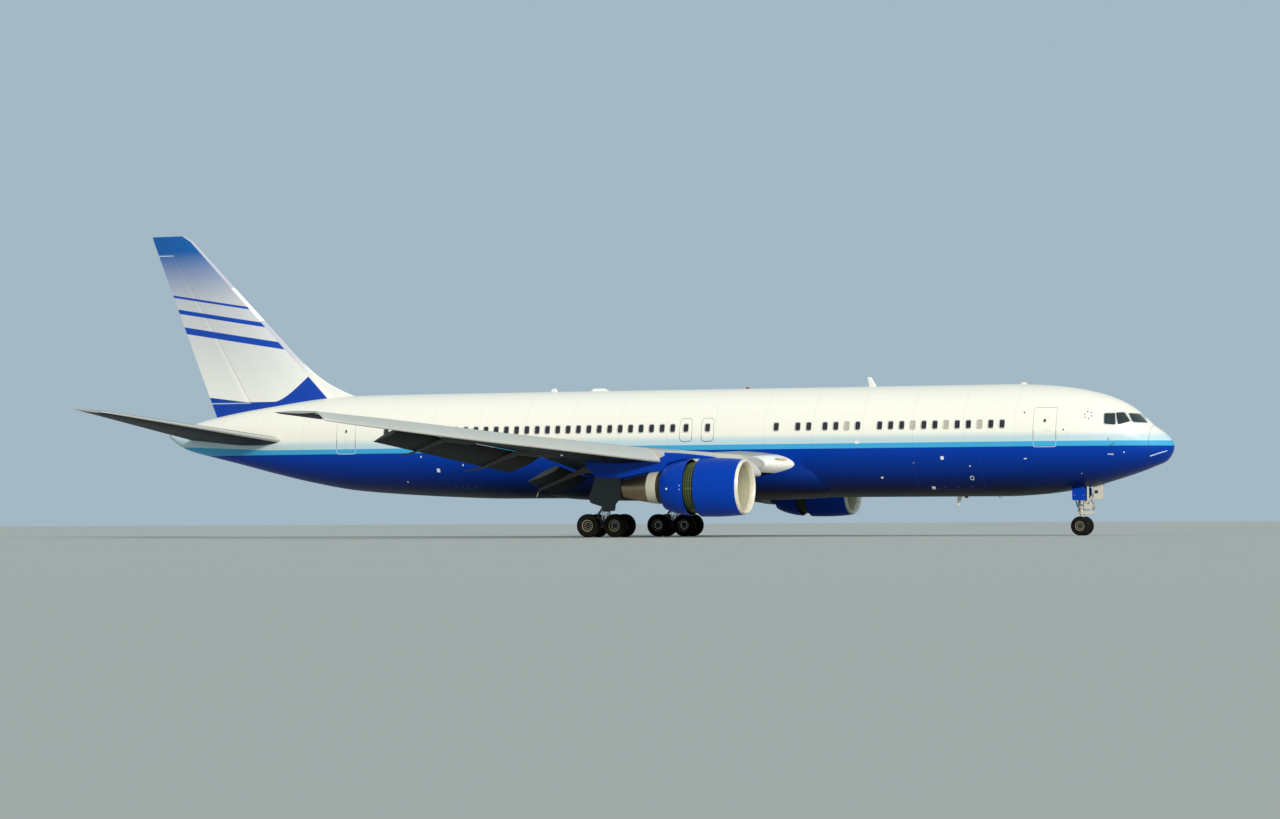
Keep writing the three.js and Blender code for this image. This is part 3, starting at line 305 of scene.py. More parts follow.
def fuselage_paint():
    look = Look("fuselage_paint", rough=0.32, coat=0.02, shine=0.12)
    up, edge = look.up(), 0.006
    # The climb near the cone also paints the tailplane's shadow in pale blue-grey.
    rise = look.between(look.aft(), *TAIL_RISE_AND_SHADOW["aft"])
    pale, sky = (look.less(up, look.times(rise, TAIL_RISE_AND_SHADOW[key])) for key in ("pale", "sky"))
    colour = look.fade(pale, PALE_TOP, PALE_FADE, PALE, WHITE)
    colour = look.fade(sky, SKY_TOP - edge, SKY_TOP + edge, SKY, colour)
    # Painted shade: the deep blue darkens to navy and to near black towards the belly.
    deep = look.fade(up, BELLY_SHADE_LOW, BELLY_SHADE_TOP, BELLY_SHADE, NAVY)
    deep = look.fade(up, BELLY_SHADE_TOP, NAVY_TOP, deep, DEEP)
    colour = look.fade(up, DEEP_TOP - edge, DEEP_TOP + edge, deep, colour)
    angle = look.math("ARCTAN2", look.y, look.less(look.z, BODY_MIDDLE * SCALE))
    frames = look.lines(look.x, FRAME_PITCH * SCALE, 0.007 * SCALE)
    laps = look.lines(angle, LAP_PITCH, 0.0016)
    nose = look.math("ABSOLUTE", look.less(look.x, (LENGTH / 2 - RADOME_SEAM) * SCALE))
    nose = look.less(1.0, look.between(nose, 0.004, 0.008))
    return look.finish(colour, stain=0.015, seams=[(frames, 0.35), (laps, 0.3), (nose, 0.5)])


def paint(name, colour, rough=0.35, metal=0.0, coat=0.0, shine=0.5, pitch=None, **finish):
    """A paint with panel seams along and across, where a pitch is given."""
    look = Look(name, rough, metal, coat, shine)
    seams = []
    if pitch:
        pitches = ((look.x, pitch), (look.y, pitch * 1.4))
        seams = [(look.lines(value, step * SCALE, 0.008 * SCALE), 0.35) for value, step in pitches]
    return look.finish(colour, seams=seams, **finish)


def brushed(name, colour, rough=0.28, stretch=(1, 12, 1), metal=1.0, **finish):
    look = Look(name, rough, metal)
    streak = look.noise(9.0, 4.0, stretch)
    shade = look.mix(look.between(streak, 0.3, 0.7), tuple(0.78 * c for c in colour), colour)
    return look.finish(shade, **finish)


def glass(name, colour, rough=0.06):
    look = Look(name, rough, coat=0.6)
    tint = look.mix(look.between(look.noise(2.2), 0.35, 0.65), colour, tuple(0.5 * c for c in colour))
    return look.finish(tint, stain=0.02, bump=0.00005, rough_swing=0.04)


def rubber():
    look = Look("tyre_rubber", rough=0.75, shine=0.15)
    dusty = look.mix(look.between(look.noise(7.0, 6.0), 0.4, 0.75), srgb(13, 12, 9), srgb(22, 20, 16))
    return look.finish(dusty, stain=0.02, grain=160.0, bump=0.0012)


def door_seam():
    """Grey lines on the white, dark ones in the pale and the deep blue, white ones in the light blue."""
    look = Look("door_seam_paint", rough=0.5)
    up = look.up()
    colour = look.fade(up, PALE_FADE, PALE_FADE + 0.02, srgb(36, 50, 72), srgb(170, 172, 168))
    colour = look.fade(up, SKY_TOP, SKY_TOP + 0.02, srgb(226, 232, 234), colour)
    colour = look.fade(up, DEEP_TOP - 0.06, DEEP_TOP - 0.04, NAVY, colour)
    return look.finish(colour, stain=0.02)


def fin_paint():
    """Grey-white that turns blue at the tip, a blue foot and three plain bands."""
    look = Look("fin_paint", rough=0.32, coat=0.05, shine=0.3)
    up, aft = look.up(), look.aft()
    colour = look.fade(up, 7.5, 12.5, srgb(232, 230, 222), srgb(188, 190, 196))
    colour = look.fade(up, 12.4, 15.0, colour, srgb(16, 86, 158))
    rise = look.math("ADD", up, look.times(look.x, FIN_BAND_RAKE))
    for start, width in FIN_BANDS:
        lower, upper = (look.between(rise, level, level + 0.02) for level in (start, start + width))
        colour = look.mix(look.times(lower, look.less(1.0, upper)), colour, srgb(10, 66, 168))
    rear = look.times(look.between(aft, *FIN_FOOT["rear"]), FIN_FOOT["rear_rise"])
    front = look.math("POWER", look.between(aft, *FIN_FOOT["front"]), FIN_FOOT["front_curve"])
    front = look.times(front, FIN_FOOT["front_rise"])
    foot = look.math("ADD", FIN_FOOT["up"], look.math("ADD", rear, front))
    colour = look.fade(look.less(up, foot), -0.01, 0.01, srgb(8, 60, 160), colour)
    return look.finish(colour, stain=0.03, seams=[(look.lines(up, 1.1, 0.006), 0.25)])


def fin_edge():
    """Its leading edge: grey, with a painted highlight in near white over a stretch of it."""
    look = Look("fin_edge_paint", rough=0.35, coat=0.2)
    up = look.up()
    colour = look.fade(up, 7.5, 9.5, WHITE, srgb(190, 190, 200))
    # A painted highlight: near white over a stretch of the leading edge.
    edge_highlight = look.times(look.between(up, *FIN_EDGE_HIGHLIGHT["low"]), look.between(up, *FIN_EDGE_HIGHLIGHT["high"]))
    return look.finish(look.mix(edge_highlight, colour, srgb(250, 248, 236)), stain=0.03)


FIN_BANDS = [(6.6, 0.34), (7.6, 0.22), (8.4, 0.12)]
FIN_BAND_RAKE = 0.32
# The blue foot: how high it is, and over which stretch its two ends rise, by how much.
FIN_FOOT = {
    "up": 7.05, "rear": (49.3, 51.5), "rear_rise": 0.27, "front": (47.6, 45.6), "front_rise": 1.45,
    "front_curve": 1.5,
}
# Where the painted highlight runs up the fin's leading edge.
FIN_EDGE_HIGHLIGHT = {"low": (11.27, 11.29), "high": (13.04, 13.02)}

LOOKS = {
    "fuselage": fuselage_paint(),
    "blue": paint("blue_paint", srgb(0, 58, 166), rough=0.3, coat=0.02, shine=0.12, stain=0.015),
    "fin": fin_paint(),
    "fin_edge": fin_edge(),
    "wing": paint("wing_paint", srgb(164, 164, 161), rough=0.55, shine=0.25, pitch=1.3),
    # Near black on the lower faces of the wing and tailplane: painted shade of undersides that have the
    # wing's grey.
    "under": paint("wing_underside_shade", srgb(17, 22, 28), rough=0.5, shine=0.15, pitch=1.3, stain=0.05),
    "flap": paint("flap_paint", srgb(92, 92, 88), rough=0.5, pitch=1.6, stain=0.12),
    # Near black on the flaps' lower faces: painted shade of flaps that are grey.
    "flap_under": paint("flap_underside_shade", srgb(26, 28, 26), rough=0.55, shine=0.2, pitch=1.6,
                        stain=0.08),
    # The fairings' dark grey-brown is painted shade on fairings that are grey.
    "canoe": paint("track_fairing_shade", srgb(62, 61, 58), rough=0.5, stain=0.15),
    "slat": brushed("slat_metal", srgb(222, 220, 212), rough=0.36, stretch=(10, 1, 10), metal=0.45),
    "lip": brushed("inlet_lip_metal", srgb(246, 238, 216), rough=0.3, stretch=(1, 1, 1), metal=0.15),
    "duct": paint("inlet_duct_paint", srgb(206, 202, 172), rough=0.3, metal=0.2),
    "cascade": paint("cascade_paint", srgb(86, 100, 46), rough=0.6, metal=0.1, stain=0.2),
    "core": paint("core_paint", srgb(204, 198, 176), rough=0.38, metal=0.2),
    # Dark olive-brown on the core's front, inside the sleeve: painted shade of that recess.
    "hot": paint("core_recess_shade", srgb(62, 54, 40), rough=0.5, metal=0.3, stain=0.2),
    "nozzle": brushed("nozzle_metal", srgb(172, 150, 122), rough=0.34),
    # Near black: real dark parts such as hoses and brakes, and painted shade in recesses: under the cascade
    # vanes, in the sleeve's channel and in the hub holes.
    "dark": paint("dark_parts_and_recess_shade", srgb(22, 22, 24), rough=0.7),
    "fan": brushed("fan_metal", srgb(96, 98, 104), rough=0.3),
    "gear": paint("gear_paint", srgb(206, 202, 190), rough=0.4, stain=0.15),
    "main_gear": paint("main_gear_paint", srgb(112, 112, 108), rough=0.45, stain=0.2),
    "chrome": brushed("chrome_piston", srgb(232, 232, 232), rough=0.1, stretch=(1, 1, 1)),
    "door": paint("leg_door_paint", srgb(52, 62, 64), rough=0.4, stain=0.15),
    "tyre": rubber(),
    "hub": paint("wheel_rim_paint", srgb(176, 160, 112), rough=0.4, metal=0.2, stain=0.15),
    "hub_dark": paint("wheel_hub_shade", srgb(50, 47, 34), rough=0.5, metal=0.3, stain=0.1),
    "window": glass("window_glass", srgb(40, 28, 34)),
    "cockpit": glass("cockpit_glass", srgb(38, 48, 50)),
    "trim": paint("seam_dark", srgb(52, 54, 58), rough=0.6),
    "frame": paint("window_frame", srgb(206, 206, 200), rough=0.35, metal=0.4),
    "white": paint("white_enamel", srgb(236, 234, 226), rough=0.3, coat=0.2),
    "shade": paint("window_shade", srgb(186, 177, 156), rough=0.6),
    "seam": door_seam(),
    "red": glass("red_lens", srgb(190, 20, 16)),
    "green": glass("green_lens", srgb(16, 150, 110)),
    "lamp": glass("lamp_glass", srgb(206, 190, 150)),
}

# Fuselage: [aft, top, bottom, half width], two round lobes with a short upright side between.
STATIONS = Curve([
    [0.0, 4.28, 4.25, 0.01], [0.12, 4.56, 3.83, 0.4], [0.38, 4.84, 3.52, 0.7], [0.9, 5.2, 3.3, 1.08],
    [1.25, 5.5, 3.16, 1.3], [1.7, 5.92, 3.0, 1.54], [2.3, 6.33, 2.81, 1.8], [2.9, 6.6, 2.63, 2.0],
    [3.6, 6.83, 2.43, 2.17], [4.9, 7.1, 2.18, 2.37], [6.3, 7.25, 2.0, 2.475],
    [8.2, 7.32, 1.905, 2.515], [34.5, 7.32, 1.95, 2.515], [37.8, 7.32, 2.06, 2.49],
    [40.6, 7.31, 2.22, 2.34], [43.0, 7.29, 2.42, 2.1], [45.3, 7.14, 2.8, 1.82],
    [47.5, 6.86, 3.28, 1.53], [49.7, 6.53, 3.82, 1.17], [51.4, 6.21, 4.22, 0.86],
    [52.6, 5.9, 4.52, 0.6], [53.3, 5.7, 4.82, 0.4], [53.8, 5.58, 5.18, 0.2],
], rooted=True)
SIDE_SHARE = 0.07  # of the height, the upright side between the lobes
LOBE_STEPS = 40


def section(aft):
    """Middle height, half of the upright side, lobe height and half width of the fuselage."""
    top, bottom, half = STATIONS.at(aft)
    side = (top - bottom) * SIDE_SHARE / 2
    return (top + bottom) / 2, side, (top - bottom) / 2 - side, half


def crown(aft, sign):
    """The height of the fuselage's top, or of its bottom for a sign of -1."""
    top, bottom, _ = STATIONS.at(aft)
    return top if sign > 0 else bottom


def skin_left(aft, up):
    """How far from the centre plane the skin is at a height."""
    middle, side, tall, half = section(aft)
    out = max(abs(up - middle) - side, 0) / tall
    return half * sqrt(max(1 - out * out, 0))


def on_skin(aft, up, lift=0.0):
    """A point of the right side's skin, lifted off it by real metres."""
    point = at(aft, -skin_left(aft, up), up)
    step = 0.01
    along = at(aft + step, -skin_left(aft + step, up), up) - point
    rise = at(aft, -skin_left(aft, up + step), up + step) - point
    normal = along.cross(rise).normalized()
    return point + normal * (lift * SCALE if normal.y < 0 else -lift * SCALE)


def body_ring(aft):
    middle, side, tall, half = section(aft)
    return [
        at(aft, sign * half * cos(turn), middle + sign * (side + tall * sin(turn)))
        for sign in (1, -1) for turn in spread(0, pi, LOBE_STEPS)
    ]


# Fuselage sections: [node, front, back, length between rings].
SECTIONS = [
    ["radome", 0.0, 0.9, 0.045], ["nose_section", 0.9, 4.95, 0.08], ["forward_fuselage", 4.95, 16.9, 0.3],
    ["centre_fuselage", 16.9, 29.9, 0.5], ["aft_fuselage", 29.9, 44.2, 0.3],
    ["tail_section", 44.2, 52.9, 0.2], ["tail_cone", 52.9, 53.8, 0.05],
]
NOSE_ROWS = 24


def make_fuselage():
    for node, front, back, pitch in SECTIONS:
        stops = spread(front, back, max(4, round((back - front) / pitch)))
        if front == 0:
            stops = [back * share ** 2 for share in spread(0, 1, NOSE_ROWS)]
        rings = [body_ring(aft) for aft in stops]
        shape = Shape().loft(rings)
        if node == "tail_cone":
            exhaust = len(rings[0]) + 2
            shape.slots[-exhaust:] = [1] * exhaust
        piece(f"{node}_skin", shape, "fuselage trim", node=node)


def make_belly():
    belly, rings = Curve(FAIRING), []
    for aft in spread(FAIRING[0][0], FAIRING[-1][0], 60):
        half, bottom = belly.at(aft)
        keel = []
        for turn in spread(0, pi, 48):
            across, drop = bulge(cos(turn), KEEL_WIDE), bulge(max(sin(turn), 0), KEEL_DEEP)
            keel.append(at(aft, half * across, FAIRING_TOP - (FAIRING_TOP - bottom) * drop))
        fillet = []
        for share in spread(0, 1, 8)[:-1]:
            left = lerp(skin_left(aft, FAIRING_FILLET) + SUNK, half, (3 - 2 * share) * share * share)
            fillet.append((left, lerp(FAIRING_FILLET, FAIRING_TOP, share)))
        right = [at(aft, -left, up) for left, up in reversed(fillet)]
        rings.append([at(aft, left, up) for left, up in fillet] + keel + right)
    piece("belly_fairing_skin", Shape().loft(rings), "fuselage", node="wing_body_fairing")


# Belly fairing under the wing box: [aft, half width, bottom].
FAIRING = [
    [16.6, 1.6, 2.06], [17.6, 2.2, 1.9], [18.8, 2.5, 1.83], [21.0, 2.66, 1.8], [27.5, 2.66, 1.8],
    [29.4, 2.46, 1.83], [30.8, 2.1, 1.9], [32.0, 1.6, 2.04],
]
FAIRING_TOP, FAIRING_FILLET = 3.3, 4.0
# How square a keel's section is: powers of its half width and of its depth, below 1 for squarer.
KEEL_WIDE, KEEL_DEEP, CANOE_WIDE = 0.75, 0.8, 0.6
SUNK = -0.012  # lift of what has to start just below the skin
# Rims on the skin, (width, height), and how high filled patches lie above it.
RIMS = {
    "window": (0.045, 0.012), "cockpit": (0.04, 0.014), "exit": (0.028, 0.006), "door": (0.024, 0.008),
    "pane": (0.02, 0.012), "handle": (0.012, 0.006), "cargo": (0.016, 0.005), "ring": (0.03, 0.006),
}
LIFTS = {
    "window": 0.004, "cockpit": 0.006, "pane": 0.003, "latch": 0.006, "mark": 0.003, "light": 0.03,
    "strip": 0.006, "dot": 0.004, "port": 0.003,
}


# Small things that lie on the skin. An outline is a loop of (aft, up) points.
def rounded(corners, radius, corner_steps=4, edge_steps=3):
    """A loop round the corners, each of them rounded."""
    loop = []
    count = len(corners)
    for i, corner in enumerate(corners):
        before, after = Vector(corners[i - 1]), Vector(corners[(i + 1) % count])
        corner = Vector(corner)
        start = corner + (before - corner).normalized() * radius
        end = corner + (after - corner).normalized() * radius
        for share in spread(0, 1, corner_steps):
            loop.append(start.lerp(corner, share).lerp(corner.lerp(end, share), share))
        following = after + (corner - after).normalized() * radius
        loop += [end.lerp(following, share) for share in spread(0, 1, edge_steps)[1:-1]]
    return loop


def oblong_corners(front, back, low, high):
    return [(front, low), (back, low), (back, high), (front, high)]


def oblong(aft, up, half_long, half_tall, radius, **steps):
    corners = oblong_corners(aft - half_long, aft + half_long, up - half_tall, up + half_tall)
    return rounded(corners, radius, **steps)


def grown(loop, width):
    middle = sum(loop, Vector((0, 0))) / len(loop)
    return [p + (p - middle).normalized() * width for p in loop]


def skin_rim(shape, loop, width, height, slot=0):
    """A raised rim along a loop, with rounded shoulders."""
    rows = [(width, SUNK), (width, height * 0.6), (width * 0.75, height), (width * 0.25, height),
            (0, height * 0.6), (0, SUNK)]
    rings = [[on_skin(p.x, p.y, lift) for p in grown(loop, out)] for out, lift in rows]
    return shape.loft(rings, slot, endless=True)


def skin_patch(shape, loop, height, slot=0, rings=3):
    """A filled loop that follows the skin at a height above it."""
    middle = sum(loop, Vector((0, 0))) / len(loop)
    shares = spread(0.02, 1, rings)
    rows = [[on_skin(*middle.lerp(p, share), height) for p in loop] for share in shares]
    rows.append([on_skin(p.x, p.y, SUNK) for p in loop])
    return shape.loft(rows, slot)


WINDOW = {"half_long": 0.125, "half_tall": 0.185, "radius": 0.085, "edge_steps": 2}
WINDOW_UP, WINDOW_PITCH = 5.35, 0.5588
WINDOWS = (
    [7.767 + WINDOW_PITCH * i for i in range(17) if i != 12] + [17.543, 18.105, 19.222, 22.803, 23.94]
    + [24.643 + WINDOW_PITCH * i for i in range(29)]
)
SHADED = (2, 5, 8, 13)  # windows, counted from the nose, whose shade is down
EXITS = [(23.94, 5.25), (22.803, 5.25)]
EXIT = {"half_long": 0.31, "half_tall": 0.56, "radius": 0.2}
DOOR_PANE = {"half_long": 0.055, "half_tall": 0.07, "radius": 0.05}
DOOR_HANDLE = {"half_long": 0.16, "half_tall": 0.05, "radius": 0.04}
DOOR_CORNER, PANE_RISE, HANDLE_AFT, HANDLE_DROP = 0.12, 0.33, -0.1, 0.16
DOORS = [(5.68, 5.17, 0.54, 0.93), (42.645, 5.13, 0.545, 0.86)]
CARGO_DOORS = [(10.6, 3.1, 1.7, 0.85), (36.2, 3.2, 0.9, 0.72)]
CARGO_CORNER, CARGO_LATCHES, LATCH_DROP = 0.1, (-0.6, -0.2, 0.2, 0.6), 0.86
LATCH = {"half_long": 0.07, "half_tall": 0.03, "radius": 0.02}


def make_windows():
    rims, panes, shades = Shape(), Shape(), Shape()
    for number, aft in enumerate(WINDOWS):
        loop = oblong(aft, WINDOW_UP, **WINDOW)
        skin_rim(rims, loop, *RIMS["window"])
        skin_patch(shades if number in SHADED else panes, loop, LIFTS["window"])
    pair("window_frames", rims, "frame")
    pair("window_panes", panes, "window")
    pair("window_shades", shades, "shade")


def make_doors():
    seams, fittings = Shape(), Shape()
    for aft, up in EXITS:
        skin_rim(seams, oblong(aft, up, **EXIT), *RIMS["exit"])
    for aft, up, half_long, half_tall in DOORS:
        skin_rim(seams, oblong(aft, up, half_long, half_tall, DOOR_CORNER, edge_steps=8), *RIMS["door"])
        pane = oblong(aft, up + half_tall * PANE_RISE, **DOOR_PANE)
        skin_rim(fittings, pane, *RIMS["pane"])
        skin_patch(fittings, pane, LIFTS["pane"], slot=1)
        skin_rim(fittings, oblong(aft + HANDLE_AFT, up - HANDLE_DROP, **DOOR_HANDLE), *RIMS["handle"])
    for aft, up, half_long, half_tall in CARGO_DOORS:
        skin_rim(seams, oblong(aft, up, half_long, half_tall, CARGO_CORNER, edge_steps=10), *RIMS["cargo"])
        for share in CARGO_LATCHES:
            latch = oblong(aft + share * half_long, up - half_tall * LATCH_DROP, **LATCH)
            skin_patch(seams, latch, LIFTS["latch"])
    pair("door_seams", seams, "seam")
    pair("door_fittings", fittings, "frame window")


# Cockpit panes of one side, from the nose back: corners as (aft, up).
COCKPIT_PANES = [
    [(1.163, 5.353), (1.685, 5.385), (1.949, 5.813), (1.569, 5.775)],
    [(1.788, 5.42), (2.28, 5.256), (2.451, 5.834), (2.11, 5.845)],
    [(2.383, 5.247), (2.9, 5.298), (2.947, 5.816), (2.485, 5.815)],
]
STATIC_PORTS = [
    (3.67 + 0.17 * cos(turn), 5.725 + 0.17 * sin(turn)) for turn in spread(0.3, 0.3 + 5 * pi / 3, 5)
]


def make_cockpit():
    rims, panes = Shape(), Shape()
    for corners in COCKPIT_PANES:
        loop = rounded(corners, 0.07, edge_steps=6)
        skin_rim(rims, loop, *RIMS["cockpit"])
        skin_patch(panes, loop, LIFTS["cockpit"], rings=5)
    pair("cockpit_window_frames", rims, "frame")
    pair("cockpit_window_panes", panes, "cockpit")


# Wing sections: [left, leading edge aft, trailing edge aft, leading up, trailing up, thickness share].
WING = [
    [1.7, 17.7, 29.3, 3.5, 3.05, 0.138], [2.45, 18.33, 29.3, 3.53, 3.14, 0.14],
    [3.2, 19.53, 29.3, 3.54, 3.24, 0.13], [8.3, 22.99, 29.37, 3.95, 4.0, 0.13],
    [14.0, 26.86, 31.74, 4.54, 4.78, 0.12], [20.5, 31.28, 34.43, 5.36, 5.47, 0.115],
    [23.4, 33.24, 35.64, 5.71, 5.74, 0.095], [23.785, 33.72, 35.72, 5.78, 5.8, 0.06],
]
# Skins of a cambered and a symmetric section: [chord share, height as a share of the thickness].
UPPER = Curve([
    [0, 0], [0.015, 0.15], [0.06, 0.29], [0.15, 0.42], [0.28, 0.5], [0.45, 0.5], [0.65, 0.4],
    [0.85, 0.2], [1, 0.03],
], rooted=True)
LOWER = Curve([
    [0, 0], [0.015, -0.13], [0.06, -0.25], [0.18, -0.39], [0.35, -0.46], [0.55, -0.38],
    [0.75, -0.18], [1, -0.03],
], rooted=True)
EVEN = Curve([
    [0, 0], [0.04, 0.22], [0.12, 0.37], [0.25, 0.48], [0.4, 0.49], [0.6, 0.38], [0.8, 0.2], [1, 0.03],
], rooted=True)
FOIL_STEPS = 22


def cambered(share, upper):
    return (UPPER if upper else LOWER).at(share)[0]


def even(share, upper):
    return EVEN.at(share)[0] * (1 if upper else -1)


def foil_loop(height_of):
    """Section points from the back over the top, round the nose and along the bottom."""
    roots = spread(0, 1, FOIL_STEPS)
    upper = [(r * r, height_of(r * r, True)) for r in reversed(roots)]
    return upper + [(r * r, height_of(r * r, False)) for r in roots[1:]]


# Which of a lifting surface's materials its nose, its underside and its inside have.
NOSE, UNDER, INSIDE, GLOVE = 1, 2, 3, 4
GLOVE_END = 3.5  # how far left the white leading edge beside the fuselage goes


def foil_slots(shape, rows, loop, nose, under):
    """Materials for the faces ahead of the nose share, and for those below."""
    for i in range((rows - 1) * len(loop)):
        here = i % len(loop)
        if max(loop[here][0], loop[(here + 1) % len(loop)][0]) <= nose:
            shape.slots[i] = NOSE
        elif here >= FOIL_STEPS:
            shape.slots[i] = under
    return shape


class Foil:
    """A lifting surface: its table, the shape of its section and the way its thickness runs."""
    def __init__(self, table, height_of, normal, place):
        self.table, self.height_of, self.normal, self.place = table, height_of, normal, place

    def chord(self, key):
        return self.place(rows_at(self.table, key))

    def point(self, key, share, height):
        lead, trail, thick = self.chord(key)
        return lead.lerp(trail, share) + self.normal * height * thick * SCALE

    def skin(self, key, share, upper=True):
        return self.point(key, share, self.height_of(share, upper))

    def middle(self, key, share):
        """The middle between the two skins, and the way from there to the upper one."""
        top, bottom = self.skin(key, share), self.skin(key, share, False)
        return (top + bottom) / 2, (top - bottom) / 2

    def share_at(self, key, aft):
        """The chord share that lies so far aft."""
        lead, trail, _ = self.chord(key)
        return (lead.x - at(aft, 0, 0).x) / (lead.x - trail.x)

    def stops(self, start, end, pitch):
        marks = [start, *[row[0] for row in self.table if start < row[0] < end], end]
        filled = [start]
        for a, b in zip(marks, marks[1:]):
            filled += spread(a, b, max(1, round((b - a) / pitch)))[1:]
        return filled

    def body(self, start, end, pitch=0.8, nose=0.0, under=UNDER):
        """The whole section over a stretch."""
        loop = foil_loop(self.height_of)
        rings = [[self.point(key, s, h) for s, h in loop] for key in self.stops(start, end, pitch)]
        return foil_slots(Shape().loft(rings), len(rings), loop, nose, under)

    def block(self, start, end, front, back, low, high, slot=INSIDE):
        """A cutter over a stretch of the chord; low and high are its ends along the thickness."""
        def edge(key, share):
            share = share(key) if callable(share) else share
            lead, trail, _ = self.chord(key)
            return lead.lerp(trail, share) - FORWARD * (0.5 if share == 1 else -0.5 if share == 0 else 0)

        stops = self.stops(start, end, 99)
        outline = [edge(key, front) for key in stops] + [edge(key, back) for key in reversed(stops)]
        flat = [p - self.normal * p.dot(self.normal) for p in outline]
        return Shape().loft([[p + self.normal * level for p in flat] for level in (low, high)], slot)


def right_wing_chord(row):
    left, lead_aft, trail_aft, lead_up, trail_up, share = row
    lead, trail = at(lead_aft, -left, lead_up), at(trail_aft, -left, trail_up)
    return lead, trail, share * (trail_aft - lead_aft)


wing = Foil(WING, cambered, UP, right_wing_chord)
WING_HEIGHTS = (0.7, 3.8)  # ends of the cutters for the wing, in the frame's metres
WING_ROOT, WING_TIP = 2.0, WING[-1][0]


def flapper(foil, start, end, share, hinge_of=None, pitch=0.8, under=UNDER):
    """A moving surface behind a hinge at a chord share, with a round nose."""
    rings, nose_steps, back_steps = [], 12, 8
    for key in foil.stops(start, end, pitch):
        here = hinge_of(key) if hinge_of else share
        middle, up = foil.middle(key, here)
        lead, trail, _ = foil.chord(key)
        ahead = (lead - trail).normalized() * up.length
        nose = [middle + up * cos(a) + ahead * sin(a) for a in spread(0, pi, nose_steps)]
        back = [foil.skin(key, s, False) for s in spread(here, 1, back_steps)[1:]]
        back += [foil.skin(key, s) for s in spread(1, here, back_steps)[:-1]]
        rings.append(nose + back)
    made, count = Shape().loft(rings), len(rings[0])
    for i in range((len(rings) - 1) * count):
        if nose_steps / 2 <= i % count < nose_steps + back_steps:
            made.slots[i] = under
    return made


SOCKET_STEPS, RUNNING = 40, 0.012


def socket(foil, start, end, shares, swing, gaps, across):
    """The round bay ahead of a hinge line for a swing in degrees, cut square to "across" at its ends."""
    (a, up_a), (b, up_b) = foil.middle(start, shares[0]), foil.middle(end, shares[1])
    way = (b - a).normalized()
    side = way.cross(foil.normal).normalized()
    over = way.cross(side)
    rings = []
    for share in (-0.2, 1.2):
        radius = lerp(up_a.length, up_b.length, share) / cos(radians(swing)) + RUNNING * SCALE
        middle = a.lerp(b, share)
        rings.append([middle + (side * cos(t) + over * sin(t)) * radius for t in turns(SOCKET_STEPS)])
    cone = bmesh.new()
    cone.from_mesh(Shape().loft(rings).mesh("socket"))
    towards = across if (b - a).dot(across) > 0 else -across
    for point, gap, sign in ((a, gaps[0], -1), (b, gaps[1], 1)):
        bmesh.ops.bisect_plane(
            cone, geom=cone.verts[:] + cone.edges[:] + cone.faces[:], clear_outer=True,
            plane_co=point + towards * sign * gap * SCALE, plane_no=towards * sign,
        )
        bmesh.ops.holes_fill(cone, edges=[e for e in cone.edges if e.is_boundary])
    made = Shape().add([v.co for v in cone.verts], [[v.index for v in f.verts] for f in cone.faces], INSIDE)
    cone.free()
    return made


# Chord shares where the slats' bays end and the flaps' start. A slat's bay is a little longer than it.
SLAT_BAY, FLAP_BAY, SLAT_END = 0.12, 0.985, 0.02
FLAP_BAYS = [[2.9, 6.45], [8.52, 17.16]]
# Ailerons: [node, inner end, outer end, hinge's chord share, gaps at the ends].
AILERONS = [
    ["inboard_aileron", 6.75, 8.3, 0.8, 0.072, 0.064],
    ["outboard_aileron", 17.35, 21.4, 0.76, 0.028, 0.076],
]
AILERON_SWING = 20


def rod(shape, start, end, radius, end_radius=None, steps=24, slot=0, round_ends=0.12):
    """A round bar with softened ends. Its radius is in real metres."""
    way = (end - start).normalized()
    side = way.orthogonal().normalized()
    over = way.cross(side)
    near, far = radius * SCALE, (end_radius or radius) * SCALE
    soft = min(near, far) * round_ends
    rows = [(start, near - soft), (start + way * soft, near), (end - way * soft, far), (end, far - soft)]
    rings = [[p + (side * cos(t) + over * sin(t)) * r for t in turns(steps)] for p, r in rows]
    return shape.loft(rings, slot)


def make_wing():
    whole = wing.body(WING_ROOT, WING_TIP, pitch=0.3, nose=0.1)
    for i, face in enumerate(whole.faces):
        if whole.slots[i] == NOSE and min(whole.points[p].y for p in face) > -GLOVE_END * SCALE:
            whole.slots[i] = GLOVE
    cutters = [
        wing.block(marks[0] - SLAT_END, marks[-1] + SLAT_END, 0, SLAT_BAY, *WING_HEIGHTS, NOSE)
        for marks in SLAT_PANELS.values()
    ]
    cutters += [wing.block(a, b, FLAP_BAY, 1, *WING_HEIGHTS) for a, b in FLAP_BAYS]
    for node, inner, outer, share, *gaps in AILERONS:
        cutters.append(wing.block(inner - gaps[0], outer + gaps[1], share, 1, *WING_HEIGHTS))
        cutters.append(socket(wing, inner, outer, (share, share), AILERON_SWING, gaps, LEFT))
        surface = flapper(wing, inner, outer, share)
        pair(f"{node}_skin", surface, WING_LOOKS + " white", node, node)
    pair("wing_skin", carve(whole, cutters), WING_LOOKS + " white", node="wing")


# Slats, out and drooped, in panels; the numbers match the solids.
SLAT_PANELS = {
    "inboard_slat": [3.3, 4.98, 6.65],
    "outboard_slat": [8.2, 11.46, 14.42, 17.38, 20.34, 23.6],
}
SLAT_TRACKS = {"inboard_slat": [3.9, 6.1], "outboard_slat": [9.2, 13.5, 17.9, 22.3]}
SLAT_PIVOT, SLAT_DROOP = (0.15, 0.42), radians(25)
SLAT_FORWARD, SLAT_DOWN = 0.036, 0.008
